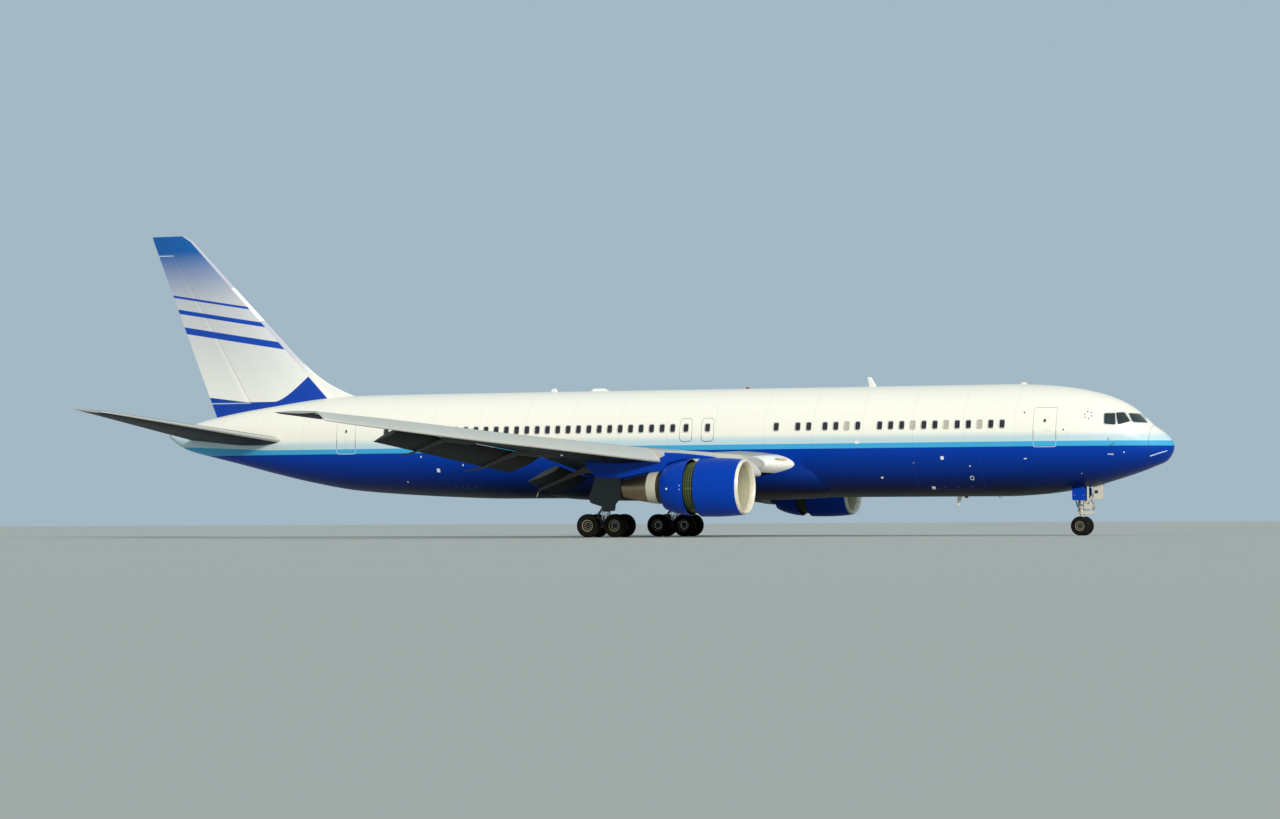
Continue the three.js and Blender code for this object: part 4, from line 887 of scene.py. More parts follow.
# How large a slat is beside the wing's own nose: [left, share].
SLAT_SIZES = [[3.3, 0.9], [8.5, 0.84], [14.0, 0.9], [20.5, 1.4], [23.4, 1.75]]
SLAT_COVE = [(0.05, -0.22), (0.036, -0.12), (0.034, 0.0), (0.045, 0.12), (0.08, 0.25)]
PANEL_GAP = 0.012
SLAT_TRACK = [(-0.03, -0.022), (0.03, -0.022), (0.03, 0.022), (-0.03, 0.022)]


def slat_loop():
    top = [(s, cambered(s, True)) for s in (0.15, 0.12, 0.09, 0.065, 0.045, 0.03, 0.018, 0.009, 0.003, 0)]
    under = [(s, cambered(s, False)) for s in (0.002, 0.007, 0.015, 0.026, 0.038, 0.047)]
    return top + under + SLAT_COVE


def slat_point(left, share, height):
    lead, trail, thick = wing.chord(left)
    chord = lead.x - trail.x
    size = rows_at(SLAT_SIZES, left)[1]
    back = (share - SLAT_PIVOT[0]) * chord * size
    rise = (height - SLAT_PIVOT[1]) * thick * SCALE * size
    c, s = cos(SLAT_DROOP), sin(SLAT_DROOP)
    aft = (SLAT_PIVOT[0] - SLAT_FORWARD) * chord + back * c - rise * s
    up = SLAT_PIVOT[1] * thick * SCALE - SLAT_DOWN * chord + back * s + rise * c
    return lead.lerp(trail, aft / chord) + UP * up


def make_slats():
    loop = slat_loop()
    for node, marks in SLAT_PANELS.items():
        shape = Shape()
        for inner, outer in zip(marks, marks[1:]):
            start = inner + (PANEL_GAP if inner != marks[0] else 0)
            shape.loft([[slat_point(key, s, h) for s, h in loop] for key in wing.stops(start, outer, 0.7)])
        for left in SLAT_TRACKS[node]:
            start, end = wing.point(left, SLAT_BAY, 0.02), slat_point(left, 0.06, 0.1)
            rings = []
            for share in spread(0, 1, 6):
                middle = start.lerp(end, share) + UP * 0.012 * sin(pi * share)
                rings.append([middle + LEFT * a + UP * b for a, b in SLAT_TRACK])
            shape.loft(rings)
        pair(f"{node}_skin", shape, "slat", node=node)


# Flaps, down: per end [left, nose aft, nose up, tail aft, tail up], inner end first.
FLAPS = {
    "inboard_flap": [[2.95, 29.02, 2.92, 30.75, 2.1], [6.4, 29.05, 3.47, 30.72, 2.73]],
    "outboard_flap": [[8.55, 29.18, 3.94, 30.78, 3.16], [17.1, 32.7, 5.11, 33.95, 4.55]],
}
FLAP_THICKNESS = 0.13
# Flap track fairings: [left, front aft, tail tip aft, tail tip up, half width, depth under the wing].
CANOES = [
    [4.9, 25.6, 30.9, 1.96, 0.24, 0.42], [10.3, 27.4, 32.34, 3.22, 0.2, 0.36],
    [14.6, 29.6, 33.8, 3.9, 0.17, 0.32],
]
CANOE_JOINT, CANOE_SUNK = 0.9, 0.05
# Front part of a fairing: [share of its length, share of its half width, share of its depth].
CANOE_FRONT = [[0, 0.1, 0.05], [0.2, 0.5, 0.36], [0.5, 0.75, 0.62], [1, 0.7, 0.66]]


def flap_chord(ends, left):
    share = (left - ends[0][0]) / (ends[1][0] - ends[0][0])
    _, nose_aft, nose_up, tail_aft, tail_up = (lerp(a, b, share) for a, b in zip(*ends))
    return at(nose_aft, -left, nose_up), at(tail_aft, -left, tail_up)


def canoe_ring(middle, half, depth):
    """A flat top with a round keel, from real metres."""
    def spot(turn):
        across, drop = bulge(cos(turn), CANOE_WIDE), bulge(max(sin(turn), 0), KEEL_DEEP)
        return middle + (LEFT * across * half - UP * drop * depth) * SCALE

    return [spot(turn) for turn in spread(0, pi, 20)]


def canoe_tail(shape, ends, left, _, tip_aft, tip_up, half, depth):
    """The rear part of a fairing, which droops with the flap."""
    lead, trail = flap_chord(ends, left)
    joint, tip = wing.skin(left, CANOE_JOINT, False), at(tip_aft, -left, tip_up)
    middle = lead.lerp(trail, 0.35)
    rows = [
        [0, joint.x, joint.z - 0.03, half * 0.7, depth * 0.6],
        [0.4, middle.x, middle.z - 0.01, half * 0.55, depth * 0.56],
        [0.8, trail.x, lerp(trail.z, tip.z, 0.1), half * 0.3, depth * 0.3],
        [1, tip.x, tip.z + 0.015, half * 0.1, 0.04],
    ]
    rings = []
    for share in spread(0, 1, 16):
        _, x, z, wide, deep = rows_at(rows, share)
        rings.append(canoe_ring(Vector((x, -left * SCALE, z)), wide, deep))
    shape.loft(rings, slot=1)
    if left == CANOES[0][0]:
        white = 2 * len(rings[0]) + 2
        shape.slots[-white:] = [3] * white


def make_flaps():
    loop = foil_loop(even)
    for node, ends in FLAPS.items():
        rings = []
        for left in spread(ends[0][0], ends[1][0], 10):
            lead, trail = flap_chord(ends, left)
            normal = (lead - trail).cross(LEFT).normalized()
            thick = (lead - trail).length * FLAP_THICKNESS * (-1 if normal.z < 0 else 1)
            rings.append([lead.lerp(trail, s) + normal * h * thick for s, h in loop])
        shape = foil_slots(Shape().loft(rings), len(rings), loop, 0, UNDER)
        for canoe in CANOES:
            if ends[0][0] < canoe[0] < ends[1][0]:
                canoe_tail(shape, ends, *canoe)
        pair(f"{node}_skin", shape, "flap canoe flap_under white", node=node)

    fronts, swell = Shape(), Curve(CANOE_FRONT)
    for left, front_aft, _, _, half, depth in CANOES:
        front, rings = wing.share_at(left, front_aft), []
        for share in spread(0, 1, 16):
            wide, deep = swell.at(share)
            skin = wing.skin(left, lerp(front, CANOE_JOINT, share), False)
            rings.append(canoe_ring(skin + UP * CANOE_SUNK * SCALE, half * wide, depth * deep + CANOE_SUNK))
        fronts.loft(rings)
    pair("flap_track_fairings", fronts, "canoe")


# Fin and rudder: [up, leading edge aft, trailing edge aft, thickness].
FIN = [
    [5.9, 43.0, 50.98, 0.8], [10.5, 47.57, 52.83, 0.52], [15.5, 52.53, 54.83, 0.23],
    [15.82, 53.05, 54.94, 0.13],
]
RUDDER = {"low": 7.05, "high": 14.72, "hinge_low": 49.21, "hinge_high": 53.66, "gaps": (0.076, 0.12)}
RUDDER_SWING, RUDDER_MORE = 26, (0.01, 0.05)  # how far its skin reaches past its two heights
# Fillet ahead of the fin: [aft, top, half width].
DORSAL = [[42.95, 7.2, 0.03], [43.73, 7.5, 0.07], [44.59, 7.92, 0.1], [45.3, 8.38, 0.12], [46.1, 9.03, 0.13]]
DORSAL_FOOT = 6.5  # height inside the fuselage where the fillet starts
TAILPLANE = [
    [0.5, 45.7, 52.25, 4.82, 5.08, 0.62], [1.5, 46.48, 52.5, 4.99, 5.25, 0.58],
    [8.95, 52.3, 54.33, 6.31, 6.5, 0.2], [9.31, 52.75, 54.42, 6.38, 6.56, 0.12],
]
FIN_SIDES, TAILPLANE_HEIGHTS = (-1, 1), (1, 4)  # ends of their cutters, in the frame's metres
ELEVATOR = {"inner": 1.75, "outer": 8.85, "share": 0.7, "gaps": (0.152, 0.1)}
ELEVATOR_SWING = 28


def fin_chord(row):
    up, lead_aft, trail_aft, thick = row
    return at(lead_aft, 0, up), at(trail_aft, 0, up), thick


def right_tail_chord(row):
    left, lead_aft, trail_aft, lead_up, trail_up, thick = row
    return at(lead_aft, -left, lead_up), at(trail_aft, -left, trail_up), thick


fin = Foil(FIN, even, LEFT, fin_chord)
tailplane = Foil(TAILPLANE, even, UP, right_tail_chord)


def rudder_share(up):
    low, high = RUDDER["low"], RUDDER["high"]
    hinge = lerp(RUDDER["hinge_low"], RUDDER["hinge_high"], (up - low) / (high - low))
    _, lead_aft, trail_aft, _ = rows_at(FIN, up)
    return (hinge - lead_aft) / (trail_aft - lead_aft)


def make_tail():
    low, high, gaps = RUDDER["low"], RUDDER["high"], RUDDER["gaps"]
    shares = (rudder_share(low), rudder_share(high))
    fixed = carve(fin.body(FIN[0][0], FIN[-1][0], nose=0.055, under=0), [
        fin.block(low - gaps[0], high + gaps[1], rudder_share, 1, *FIN_SIDES),
        socket(fin, low, high, shares, RUDDER_SWING, gaps, UP),
    ])
    ridge, rings = Curve(DORSAL), []
    for aft in spread(DORSAL[0][0], DORSAL[-1][0], 20):
        top, half = ridge.at(aft)
        rings.append([
            at(aft, half * cos(t), lerp(DORSAL_FOOT, top, sin(t) ** 0.7)) for t in spread(0, pi, 16)
        ])
    fixed.loft(rings, UNDER)
    piece("fin_skin", fixed, "fin fin_edge white trim", node="fin")
    surface = flapper(fin, low - RUDDER_MORE[0], high + RUDDER_MORE[1], 0, rudder_share, under=0)
    piece("rudder_skin", surface, "fin", "rudder", "rudder")

    inner, outer, share, gaps = (ELEVATOR[key] for key in ("inner", "outer", "share", "gaps"))
    fixed = carve(tailplane.body(TAILPLANE[0][0], TAILPLANE[-1][0], nose=0.05), [
        tailplane.block(inner - gaps[0], outer + gaps[1], share, 1, *TAILPLANE_HEIGHTS),
        socket(tailplane, inner, outer, (share, share), ELEVATOR_SWING, gaps, LEFT),
    ])
    pair("tailplane_skin", fixed, WING_LOOKS, node="tailplane")
    surface = flapper(tailplane, inner, outer, share)
    pair("elevator_skin", surface, WING_LOOKS, "elevator", "elevator")


# Engines. A profile is a list of [aft, radius] about the engine's centre line.
ENGINE_LEFT, ENGINE_UP = -7.92, 2.38
ENGINE_STEPS = 96


def ring_at(aft, radius, steps=ENGINE_STEPS):
    return [round_engine(turn, aft, radius) for turn in turns(steps)]


def smooth(points, steps=5):
    """More points on a curve through these points."""
    loop = [points[0], *points, points[-1]]
    made = []
    for rows in zip(loop, loop[1:], loop[2:], loop[3:]):
        for t in spread(0, 1, steps)[:-1]:
            made.append([
                q + 0.5 * t * (r - p + t * (2 * p - 5 * q + 4 * r - s + t * (3 * q - p - 3 * r + s)))
                for p, q, r, s in zip(*rows)
            ])
    return [*made, points[-1]]


def turned(shape, *runs):
    """A closed skin of revolution through runs of profile points, each with its material."""
    for n, (slot, run) in enumerate(runs):
        joined = [*run, runs[(n + 1) % len(runs)][1][0]]
        shape.loft([ring_at(aft, max(radius, 0.001)) for aft, radius in joined], slot, ends=False)
    return shape


LIP_OUT = smooth([[18.75, 1.235], [18.765, 1.262], [18.82, 1.29], [18.9, 1.312]])
LIP_IN = smooth([[19.0, 1.132], [18.88, 1.15], [18.79, 1.185], [18.75, 1.235]])
COWL_OUT = smooth([
    [18.905, 1.308], [18.91, 1.316], [19.1, 1.343], [19.6, 1.382], [20.3, 1.402], [20.99, 1.395],
])
DUCT_IN = smooth([[20.99, 1.15], [20.7, 1.178], [20.4, 1.2], [19.75, 1.2], [19.35, 1.145], [19.0, 1.13]])
# The drum of cascade vanes: its ends and radii, how many rings and ribs, and how deep they stand.
CASCADE = {"front": 20.992, "back": 21.538, "out_front": 1.29, "out_back": 1.175, "inner": 1.12}
CASCADE_ROWS, CASCADE_RIBS, CASCADE_GROOVE = 4, 60, 0.035
RING_HALF, RIB_HALF, WIDE_RIB_HALF, WIDE_RIB_EVERY = 0.018, 0.012, 0.05, 10
SLEEVE_OUT = [
    [21.54, 1.32], *smooth([[21.54, 1.355], [21.7, 1.34], [21.95, 1.305], [22.4, 1.2], [22.79, 1.05]]),
]
SLEEVE_IN = [[22.79, 1.02], [22.4, 1.055], [21.54, 1.08]]
# The channel is near black: painted shade of the gap at the sleeve's front.
SLEEVE_CHANNEL = [[21.54, 1.11], [22.13, 1.11], [22.13, 1.225]]
CORE_FRONT = smooth([[20.46, 0.39], [20.7, 0.55], [21.3, 0.74], [22.1, 0.79], [23.12, 0.762]])
CORE_RING = smooth([[23.13, 0.776], [23.3, 0.767], [23.63, 0.735]])
CORE_PLUG = smooth([[23.63, 0.34], [24.2, 0.32], [24.85, 0.16], [25.09, 0.0]])
NOZZLE_OUT = smooth([[23.645, 0.71], [24.15, 0.64], [24.6, 0.55], [24.97, 0.46]])
NOZZLE_IN = [[24.97, 0.44], [24.15, 0.6], [23.645, 0.62]]
SPINNER = smooth([[19.6, 0.0], [19.64, 0.08], [19.75, 0.2], [19.95, 0.34], [20.1, 0.375]])
FAN_BLADES, FAN_MIDDLE, FAN_BACK = 38, 20.2, 20.44
FAN_HUB, FAN_SPAN, BLADE_CAMBER = 0.375, (0.34, 1.175), 0.15
# Fan blade sections: [radius, half chord, pitch in degrees, half thickness].
FAN_BLADE = Curve([
    [0.34, 0.15, 30, 0.016], [0.7, 0.19, 44, 0.011], [1.0, 0.205, 54, 0.008], [1.175, 0.2, 60, 0.006],
])
# One blade's section: [share of the half chord, share of the half thickness].
BLADE_SECTION = [(1, 0), (0.5, 0.8), (0, 1), (-0.6, 0.7), (-1, 0), (-0.6, -0.7), (0, -1), (0.5, -0.8)]
# Guide vanes behind the fan: how many, their section as (aft, across), and its radii.
GUIDE_VANES = 44
VANE_SECTION = [(20.62, 0.03), (20.7, 0.014), (20.93, -0.008), (20.7, -0.002)]
VANE_RADII = (0.5, 0.8, 1.0, 1.155)
# Round marks on the sleeve: [degrees round the engine from its left, aft, radius there, size].
SLEEVE_MARKS = [(183.4, 22.37, 1.208, 0.05), (176.4, 21.67, 1.344, 0.025), (184.5, 21.67, 1.344, 0.025)]


def round_engine(angle, aft, radius, across=0.0):
    """A point by its angle round the engine, with a step across in the same plane."""
    c, s = cos(angle), sin(angle)
    return at(aft, ENGINE_LEFT + radius * c - across * s, ENGINE_UP + radius * s + across * c)


def make_cowl():
    cowl = turned(Shape(), (0, LIP_OUT), (1, COWL_OUT), (2, DUCT_IN), (0, LIP_IN[:-1]))
    pair("fan_cowl_skin", cowl, "lip blue duct", node="fan_cowl")


def make_cascades():
    front, back, inner = CASCADE["front"], CASCADE["back"], CASCADE["inner"]

    def outer(aft):
        return lerp(CASCADE["out_front"], CASCADE["out_back"], (aft - front) / (back - front))

    # The drum under the vanes and its inside are near black: painted shade between the vanes.
    drum = [[aft, outer(aft) - CASCADE_GROOVE] for aft in (front, back)]
    cascade = turned(Shape(), (1, drum), (1, [[back, inner], [front, inner]]))
    for aft in spread(front + 0.02, back - 0.02, CASCADE_ROWS):
        low, top = outer(aft) - CASCADE_GROOVE - 0.01, outer(aft)
        start, end = aft - RING_HALF, aft + RING_HALF
        turned(cascade, (0, [[start, low], [start, top], [end, top], [end, low]]))
    for rib in range(CASCADE_RIBS):
        angle = tau * (rib + 0.5) / CASCADE_RIBS
        wide = RIB_HALF if rib % WIDE_RIB_EVERY else WIDE_RIB_HALF
        outline = ((-wide, -0.05), (wide, -0.05), (wide, 0), (-wide, 0))
        cascade.loft([
            [round_engine(angle, aft, outer(aft) + lift, across) for across, lift in outline]
            for aft in spread(front + 0.002, back - 0.002, 4)
        ])
    pair("reverser_cascade_skin", cascade, "cascade dark", node="reverser_cascade")


def make_sleeve():
    sleeve = turned(Shape(), (0, SLEEVE_OUT), (1, SLEEVE_IN), (2, SLEEVE_CHANNEL))
    for angle, aft, radius, size in SLEEVE_MARKS:
        foot, top = (round_engine(radians(angle), aft, radius + out) for out in (-0.03, 0.012))
        rod(sleeve, foot, top, size, steps=16, slot=3)
    body = "reverser_sleeve"
    pair("reverser_sleeve_skin", sleeve, "blue duct dark white", body, body)


def make_core():
    # The core's front, inside the fan duct, is painted with the shade of that recess.
    core = turned(Shape(), (2, [[20.46, 0.0], *CORE_FRONT]), (0, CORE_RING), (1, CORE_PLUG))
    for angle in turns(GUIDE_VANES):
        core.loft([[round_engine(angle, aft, radius, across) for aft, across in VANE_SECTION]
                   for radius in VANE_RADII])
    pair("engine_core_skin", core, "core nozzle hot", node="engine_core")
    nozzle = turned(Shape(), (0, NOZZLE_OUT), (0, NOZZLE_IN))
    pair("exhaust_nozzle_skin", nozzle, "nozzle", node="exhaust_nozzle")


def make_fan():
    fan = turned(Shape(), (1, SPINNER), (1, [[FAN_BACK, FAN_HUB]]), (1, [[FAN_BACK, 0.0]]))
    for angle in turns(FAN_BLADES):
        rings = []
        for radius in spread(*FAN_SPAN, 8):
            half, pitch, thick = FAN_BLADE.at(radius)
            c, s = cos(radians(pitch)), sin(radians(pitch))
            ring = []
            for along, off in BLADE_SECTION:
                a, b = along * half, off * thick + BLADE_CAMBER * half * (1 - along * along)
                ring.append(round_engine(angle, FAN_MIDDLE - a * c + b * s, radius, a * s + b * c))
            rings.append(ring)
        fan.loft(rings)
    pair("fan_blades", fan, "fan main_gear", "fan", "fan")


def make_pylon():
    pylon, rings = Curve(PYLON), []
    for aft in spread(PYLON[0][0], PYLON[-1][0], 48):
        low, top, half = pylon.at(aft)
        ring = []
        for turn in turns(28):
            over = sin(turn) > 0
            across = bulge(cos(turn), PYLON_WIDE) * half
            rise = bulge(sin(turn), PYLON_OVER if over else PYLON_UNDER) * (top - low) / 2
            drop = 0 if over else across ** 2 / (2 * SLEEVE_OUT[0][1])
            ring.append(at(aft, ENGINE_LEFT + across, (top + low) / 2 + rise - drop))
        rings.append(ring)
    pair("pylon_skin", Shape().loft(rings), "blue", node="pylon")


# Pylon: [aft, bottom, top, half width]. Its bottom clears the sliding sleeve.
PYLON = [
    [20.0, 3.5, 3.56, 0.02], [20.2, 3.5, 3.78, 0.1], [20.65, 3.55, 3.87, 0.16], [20.96, 3.66, 3.905, 0.19],
    [21.0, 3.75, 3.91, 0.19], [21.56, 3.75, 3.975, 0.2], [21.95, 3.705, 4.01, 0.2], [22.4, 3.6, 4.04, 0.2],
    [22.8, 3.47, 4.055, 0.2], [22.86, 3.12, 4.06, 0.2], [23.6, 3.1, 4.2, 0.2], [25.2, 2.86, 4.1, 0.19],
    [26.3, 2.86, 4.0, 0.14], [27.0, 3.4, 3.8, 0.03],
]
# How square its section is: powers of its half width, of its upper and of its lower half.
PYLON_WIDE, PYLON_OVER, PYLON_UNDER = 0.4, 0.7, 0.35


# Landing gear. A point of a leg is [aft, outboard, up] from the leg's foot on the ground.
NOSE_LEG_AFT = 4.53
MAIN_LEG_AFT, MAIN_LEG_LEFT, BOGIE_HALF = 27.287, 4.65, 0.71
NOSE_WHEEL = {"radius": 0.46, "width": 0.34, "spacing": 0.62, "axle": 0.055}
MAIN_WHEEL = {"radius": 0.57, "width": 0.44, "spacing": 1.14, "axle": 0.075}
# Half of a tyre's section, from the bead to the middle of the tread: [share of half width, share of radius].
TYRE_HALF = [(0.7, 0.5), (0.86, 0.53), (0.97, 0.62), (1, 0.74), (0.96, 0.86), (0.84, 0.95), (0.66, 0.99)]
TREAD = [
    (0.5, 1), (0.47, 0.975), (0.43, 0.975), (0.4, 1), (0.2, 1), (0.17, 0.975), (0.13, 0.975), (0.1, 1),
]
# A hub's section, in the same shares, and how many of its rows from the outside are the bright rim. The rows
# inside it get a darker copy of the rim's gold: painted shade of the dish.
HUB_HALF = [
    (0.2, 0.5), (0.68, 0.51), (0.74, 0.5), (0.72, 0.45), (0.3, 0.4), (0.26, 0.24), (0.5, 0.2), (0.55, 0.1),
    (0.5, 0), (0.1, 0), (0.1, 0.5),
]
HUB_RIM_ROWS = 3
WHEEL_STEPS, HUB_BOLTS = 72, 10
# Bolts and holes of a hub: [from, to, share of the radius, thickness, corners, material]. The holes are near
# black: painted shade inside them.
HUB_FITTINGS = [[0.24, 0.38, 0.3, 0.024, 6, 2], [0.5, 0.64, 0.44, 0.018, 8, 3]]


def wheel(shape, middle, size):
    """A tyre on its hub, turned about an axis across the aircraft."""
    half, radius = size["width"] / 2 * SCALE, size["radius"] * SCALE

    def spot(across, out, turn):
        """A point by its shares of the half width and of the radius."""
        return middle + LEFT * across * half + (FORWARD * cos(turn) + UP * sin(turn)) * out * radius

    def rings(loop):
        return [[spot(across, max(out, 0.002), turn) for turn in turns(WHEEL_STEPS)] for across, out in loop]

    sides = [(-a, r) for a, r in TYRE_HALF + TREAD]
    shape.loft(rings(sides + [(-a, r) for a, r in reversed(sides)]), endless=True)
    for side in (-1, 1):
        # The dish inside the rim takes the painted shade of the recess.
        dish = len(shape.slots) + HUB_RIM_ROWS * WHEEL_STEPS
        shape.loft(rings([(side * a, r) for a, r in HUB_HALF]), 1, endless=True)
        shape.slots[dish:] = [5] * (len(shape.slots) - dish)
        for turn in turns(HUB_BOLTS):
            for start, end, out, thick, corners, slot in HUB_FITTINGS:
                foot, top = (spot(side * across, out, turn) for across in (start, end))
                rod(shape, foot, top, thick, steps=corners, slot=slot)
    return shape


def make_wheels():
    def axle_pair(aft, left, size):
        middle = at(aft, left, size["radius"])
        reach = LEFT * size["spacing"] / 2 * SCALE
        shape = Shape()
        for sign in (-1, 1):
            wheel(shape, middle + reach * sign, size)
        return rod(shape, middle - reach, middle + reach, size["axle"], slot=4)

    looks = "tyre hub chrome dark main_gear hub_dark"
    shape = axle_pair(NOSE_LEG_AFT, 0, NOSE_WHEEL)
    piece("nose_wheel_pair", shape, looks, "nose_wheels", "nose_wheels")
    for end, sign in (("front", -1), ("rear", 1)):
        body = f"{end}_main_wheels"
        shape = axle_pair(MAIN_LEG_AFT + sign * BOGIE_HALF, -MAIN_LEG_LEFT, MAIN_WHEEL)
        pair(f"{end}_main_wheel_pair", shape, looks, body, body)


def plate(shape, outline, left, half, slot=0, bevel=0.01):
    """A flat panel from an outline of (aft, up) points, with softened edges."""
    middle = sum((Vector(p) for p in outline), Vector((0, 0))) / len(outline)
    rings = []
    for across, inset in ((-half, bevel), (-half + bevel, 0), (half - bevel, 0), (half, bevel)):
        loop = [Vector(p) - (Vector(p) - middle).normalized() * inset for p in outline]
        rings.append([at(p.x, left + across, p.y) for p in loop])
    return shape.loft(rings, slot)


def slab(shape, low, high, slot=0):
    """A block between two corners of real metres, with softened edges."""
    outline = rounded(oblong_corners(low[0], high[0], low[2], high[2]), 0.02, 2, 1)
    return plate(shape, outline, (low[1] + high[1]) / 2, abs(high[1] - low[1]) / 2, slot)


def scissor(low, knee, high, radius):
    """Two links side by side from a low point to the knee, and two from there to a high one."""
    return [
        [(a, side * out, up), (b, side * far, top), radius, 0]
        for (a, out, up), (b, far, top) in ((low, knee), (knee, high)) for side in (-1, 1)
    ]


# Rods of the legs: [from, to, radius, material]: 0 paint, 1 bright metal, 2 dark.
NOSE_LEG_RODS = [
    [(0, 0, 0.982), (0, 0, 2.54), 0.125, 0], [(0, 0, 1.3), (0, 0, 1.5), 0.165, 0],
    [(0, 0, 1.0), (0, 0, 1.1), 0.14, 0], [(0, 0, 1.35), (-1.15, 0, 2.6), 0.055, 0],
    [(-0.1, -0.16, 1.45), (0.14, -0.16, 1.45), 0.045, 1], [(-0.1, 0.16, 1.45), (0.14, 0.16, 1.45), 0.045, 1],
    [(0.1, -0.07, 1.1), (0.1, -0.07, 2.4), 0.014, 2], [(0.11, 0.06, 1.0), (0.11, 0.06, 2.4), 0.011, 2],
    [(-0.42, -0.14, 1.62), (-0.1, -0.14, 1.34), 0.035, 0], [(0.2, -0.12, 1.24), (0.2, -0.12, 1.7), 0.04, 0],
    [(-0.3, -0.16, 1.72), (0.24, -0.16, 1.66), 0.03, 2], [(-0.24, -0.15, 1.2), (-0.24, -0.15, 1.6), 0.022, 2],
    [(0.24, -0.1, 1.36), (0.34, -0.1, 1.66), 0.028, 2], [(-0.36, -0.12, 1.72), (-0.36, -0.12, 1.46), 0.06, 0],
    [(-0.56, -0.14, 1.56), (-0.2, -0.14, 1.68), 0.05, 0], [(-0.5, -0.16, 1.2), (-0.5, -0.16, 1.6), 0.02, 2],
    [(-0.12, -0.18, 1.2), (-0.12, -0.18, 1.7), 0.024, 1], [(0.28, -0.08, 1.1), (0.1, -0.12, 1.34), 0.03, 0],
]
# Blocks of the legs: [corner, opposite corner, material], as [aft, left, up].
NOSE_LEG_SLABS = [
    [(3.48, -0.16, 1.72), (3.93, 0.16, 2.5), 0], [(3.7, -0.19, 2.02), (3.86, -0.15, 2.16), 2],
    [(3.99, -0.2, 1.26), (4.4, 0.2, 1.5), 0], [(3.96, -0.14, 1.01), (4.45, 0.14, 1.17), 0],
    [(4.08, -0.44, 1.68), (4.17, -0.4, 2.4), 0],
]
NOSE_STEERED_RODS = [
    [(0, 0, 0.46), (0, 0, 0.98), 0.072, 1], [(0, 0, 0.88), (0, 0, 0.979), 0.11, 0],
    [(0, -0.09, 0.46), (0, 0.09, 0.46), 0.1, 0],
    *scissor((0.05, 0.05, 0.6), (0.36, 0.02, 0.75), (0.05, 0.05, 0.92), 0.026),
    [(0.36, -0.05, 0.75), (0.36, 0.05, 0.75), 0.034, 1],
]
NOSE_STEERED_SLABS = [[(4.2, -0.06, 0.4), (4.5, 0.06, 0.52), 0]]
NOSE_LAMPS = {"lefts": (-0.11, 0.11), "back": 4.0, "front": 3.93, "up": 1.35, "radius": 0.09}
MAIN_LEG_RODS = [
    [(-0.86, 0, 0.57), (0.86, 0, 0.57), 0.125, 0], [(-0.71, -0.2, 0.57), (-0.71, 0.2, 0.57), 0.15, 0],
    [(0.71, -0.2, 0.57), (0.71, 0.2, 0.57), 0.15, 0], [(0, 0, 0.6), (0, 0, 1.3), 0.125, 1],
    [(0, -0.19, 0.57), (0, 0.19, 0.57), 0.12, 0], [(0, 0, 1.25), (0, 0, 3.6), 0.188, 0],
    [(0, 0, 1.25), (0, 0, 1.36), 0.21, 0],
    *scissor((0.1, 0.09, 0.72), (0.5, 0.03, 1.05), (0.16, 0.09, 1.45), 0.038),
    [(0.5, -0.08, 1.05), (0.5, 0.08, 1.05), 0.05, 1],
    [(0, 0, 1.7), (0.1, -2.1, 2.75), 0.075, 0], [(0, 0, 1.6), (-1.6, -0.1, 3.4), 0.075, 0],
    [(-0.18, 0.05, 0.75), (-0.18, 0.05, 2.9), 0.018, 2], [(-0.17, -0.08, 0.8), (-0.17, -0.08, 2.9), 0.014, 2],
    [(-0.6, 0.1, 0.72), (-0.16, 0.06, 0.85), 0.014, 2], [(0.6, 0.1, 0.72), (0.16, 0.06, 0.85), 0.014, 2],
    [(0.21, 0, 0.75), (0.24, 0, 1.5), 0.045, 1],
]
BRAKE = {"radius": 0.24, "from": 0.22, "to": 0.34}
# Doors: how far left they hang, and their outlines.
NOSE_DOOR = {"front": 4.2, "back": 4.88, "top": 2.3, "low": 1.68, "left": 0.52}
DOOR_HALF, NOSE_DOOR_CORNER, LEG_DOOR_CORNER = 0.02, 0.1, 0.08
NOSE_DOOR_LINKS = (4.32, 4.76)
NOSE_LINK = {"low": 1.9, "high": 2.25, "in": 0.12, "radius": 0.03}
LEG_DOOR = [
    (26.36, 3.0), (27.7, 3.0), (28.08, 1.9), (27.98, 1.68), (27.33, 1.48), (27.28, 1.28), (26.69, 1.28),
    (26.64, 1.62), (26.38, 1.9),
]
LEG_DOOR_LEFT, LEG_DOOR_ARMS = 5.0, (1.62, 2.4)


def leg(rods, slabs, aft, left):
    shape = Shape()
    for start, end, radius, slot in rods:
        points = [at(aft + a, left - out, up) for a, out, up in (start, end)]
        rod(shape, *points, radius, slot=slot)
    for low, high, slot in slabs:
        slab(shape, low, high, slot)
    return shape


def make_nose_gear():
    looks, lamps, link = "gear chrome dark lamp red", NOSE_LAMPS, NOSE_LINK
    fixed = leg(NOSE_LEG_RODS, NOSE_LEG_SLABS, NOSE_LEG_AFT, 0)
    for left in lamps["lefts"]:
        start, end = (at(lamps[key], left, lamps["up"]) for key in ("back", "front"))
        rod(fixed, start, end, lamps["radius"], slot=3)
    piece("nose_leg_fixed", fixed, looks, node="nose_gear_leg")
    steered = leg(NOSE_STEERED_RODS, NOSE_STEERED_SLABS, NOSE_LEG_AFT, 0)
    piece("nose_leg_steered", steered, looks, "nose_steering", "nose_gear_steered_leg")

    left = -NOSE_DOOR["left"]
    corners = oblong_corners(*(NOSE_DOOR[key] for key in ("front", "back", "low", "top")))
    door = plate(Shape(), rounded(corners, NOSE_DOOR_CORNER), left, DOOR_HALF)
    for aft in NOSE_DOOR_LINKS:
        start, end = at(aft, left, link["low"]), at(aft, left + link["in"], link["high"])
        rod(door, start, end, link["radius"], slot=1)
    pair("nose_gear_door_skin", door, "blue gear", node="nose_gear_door")


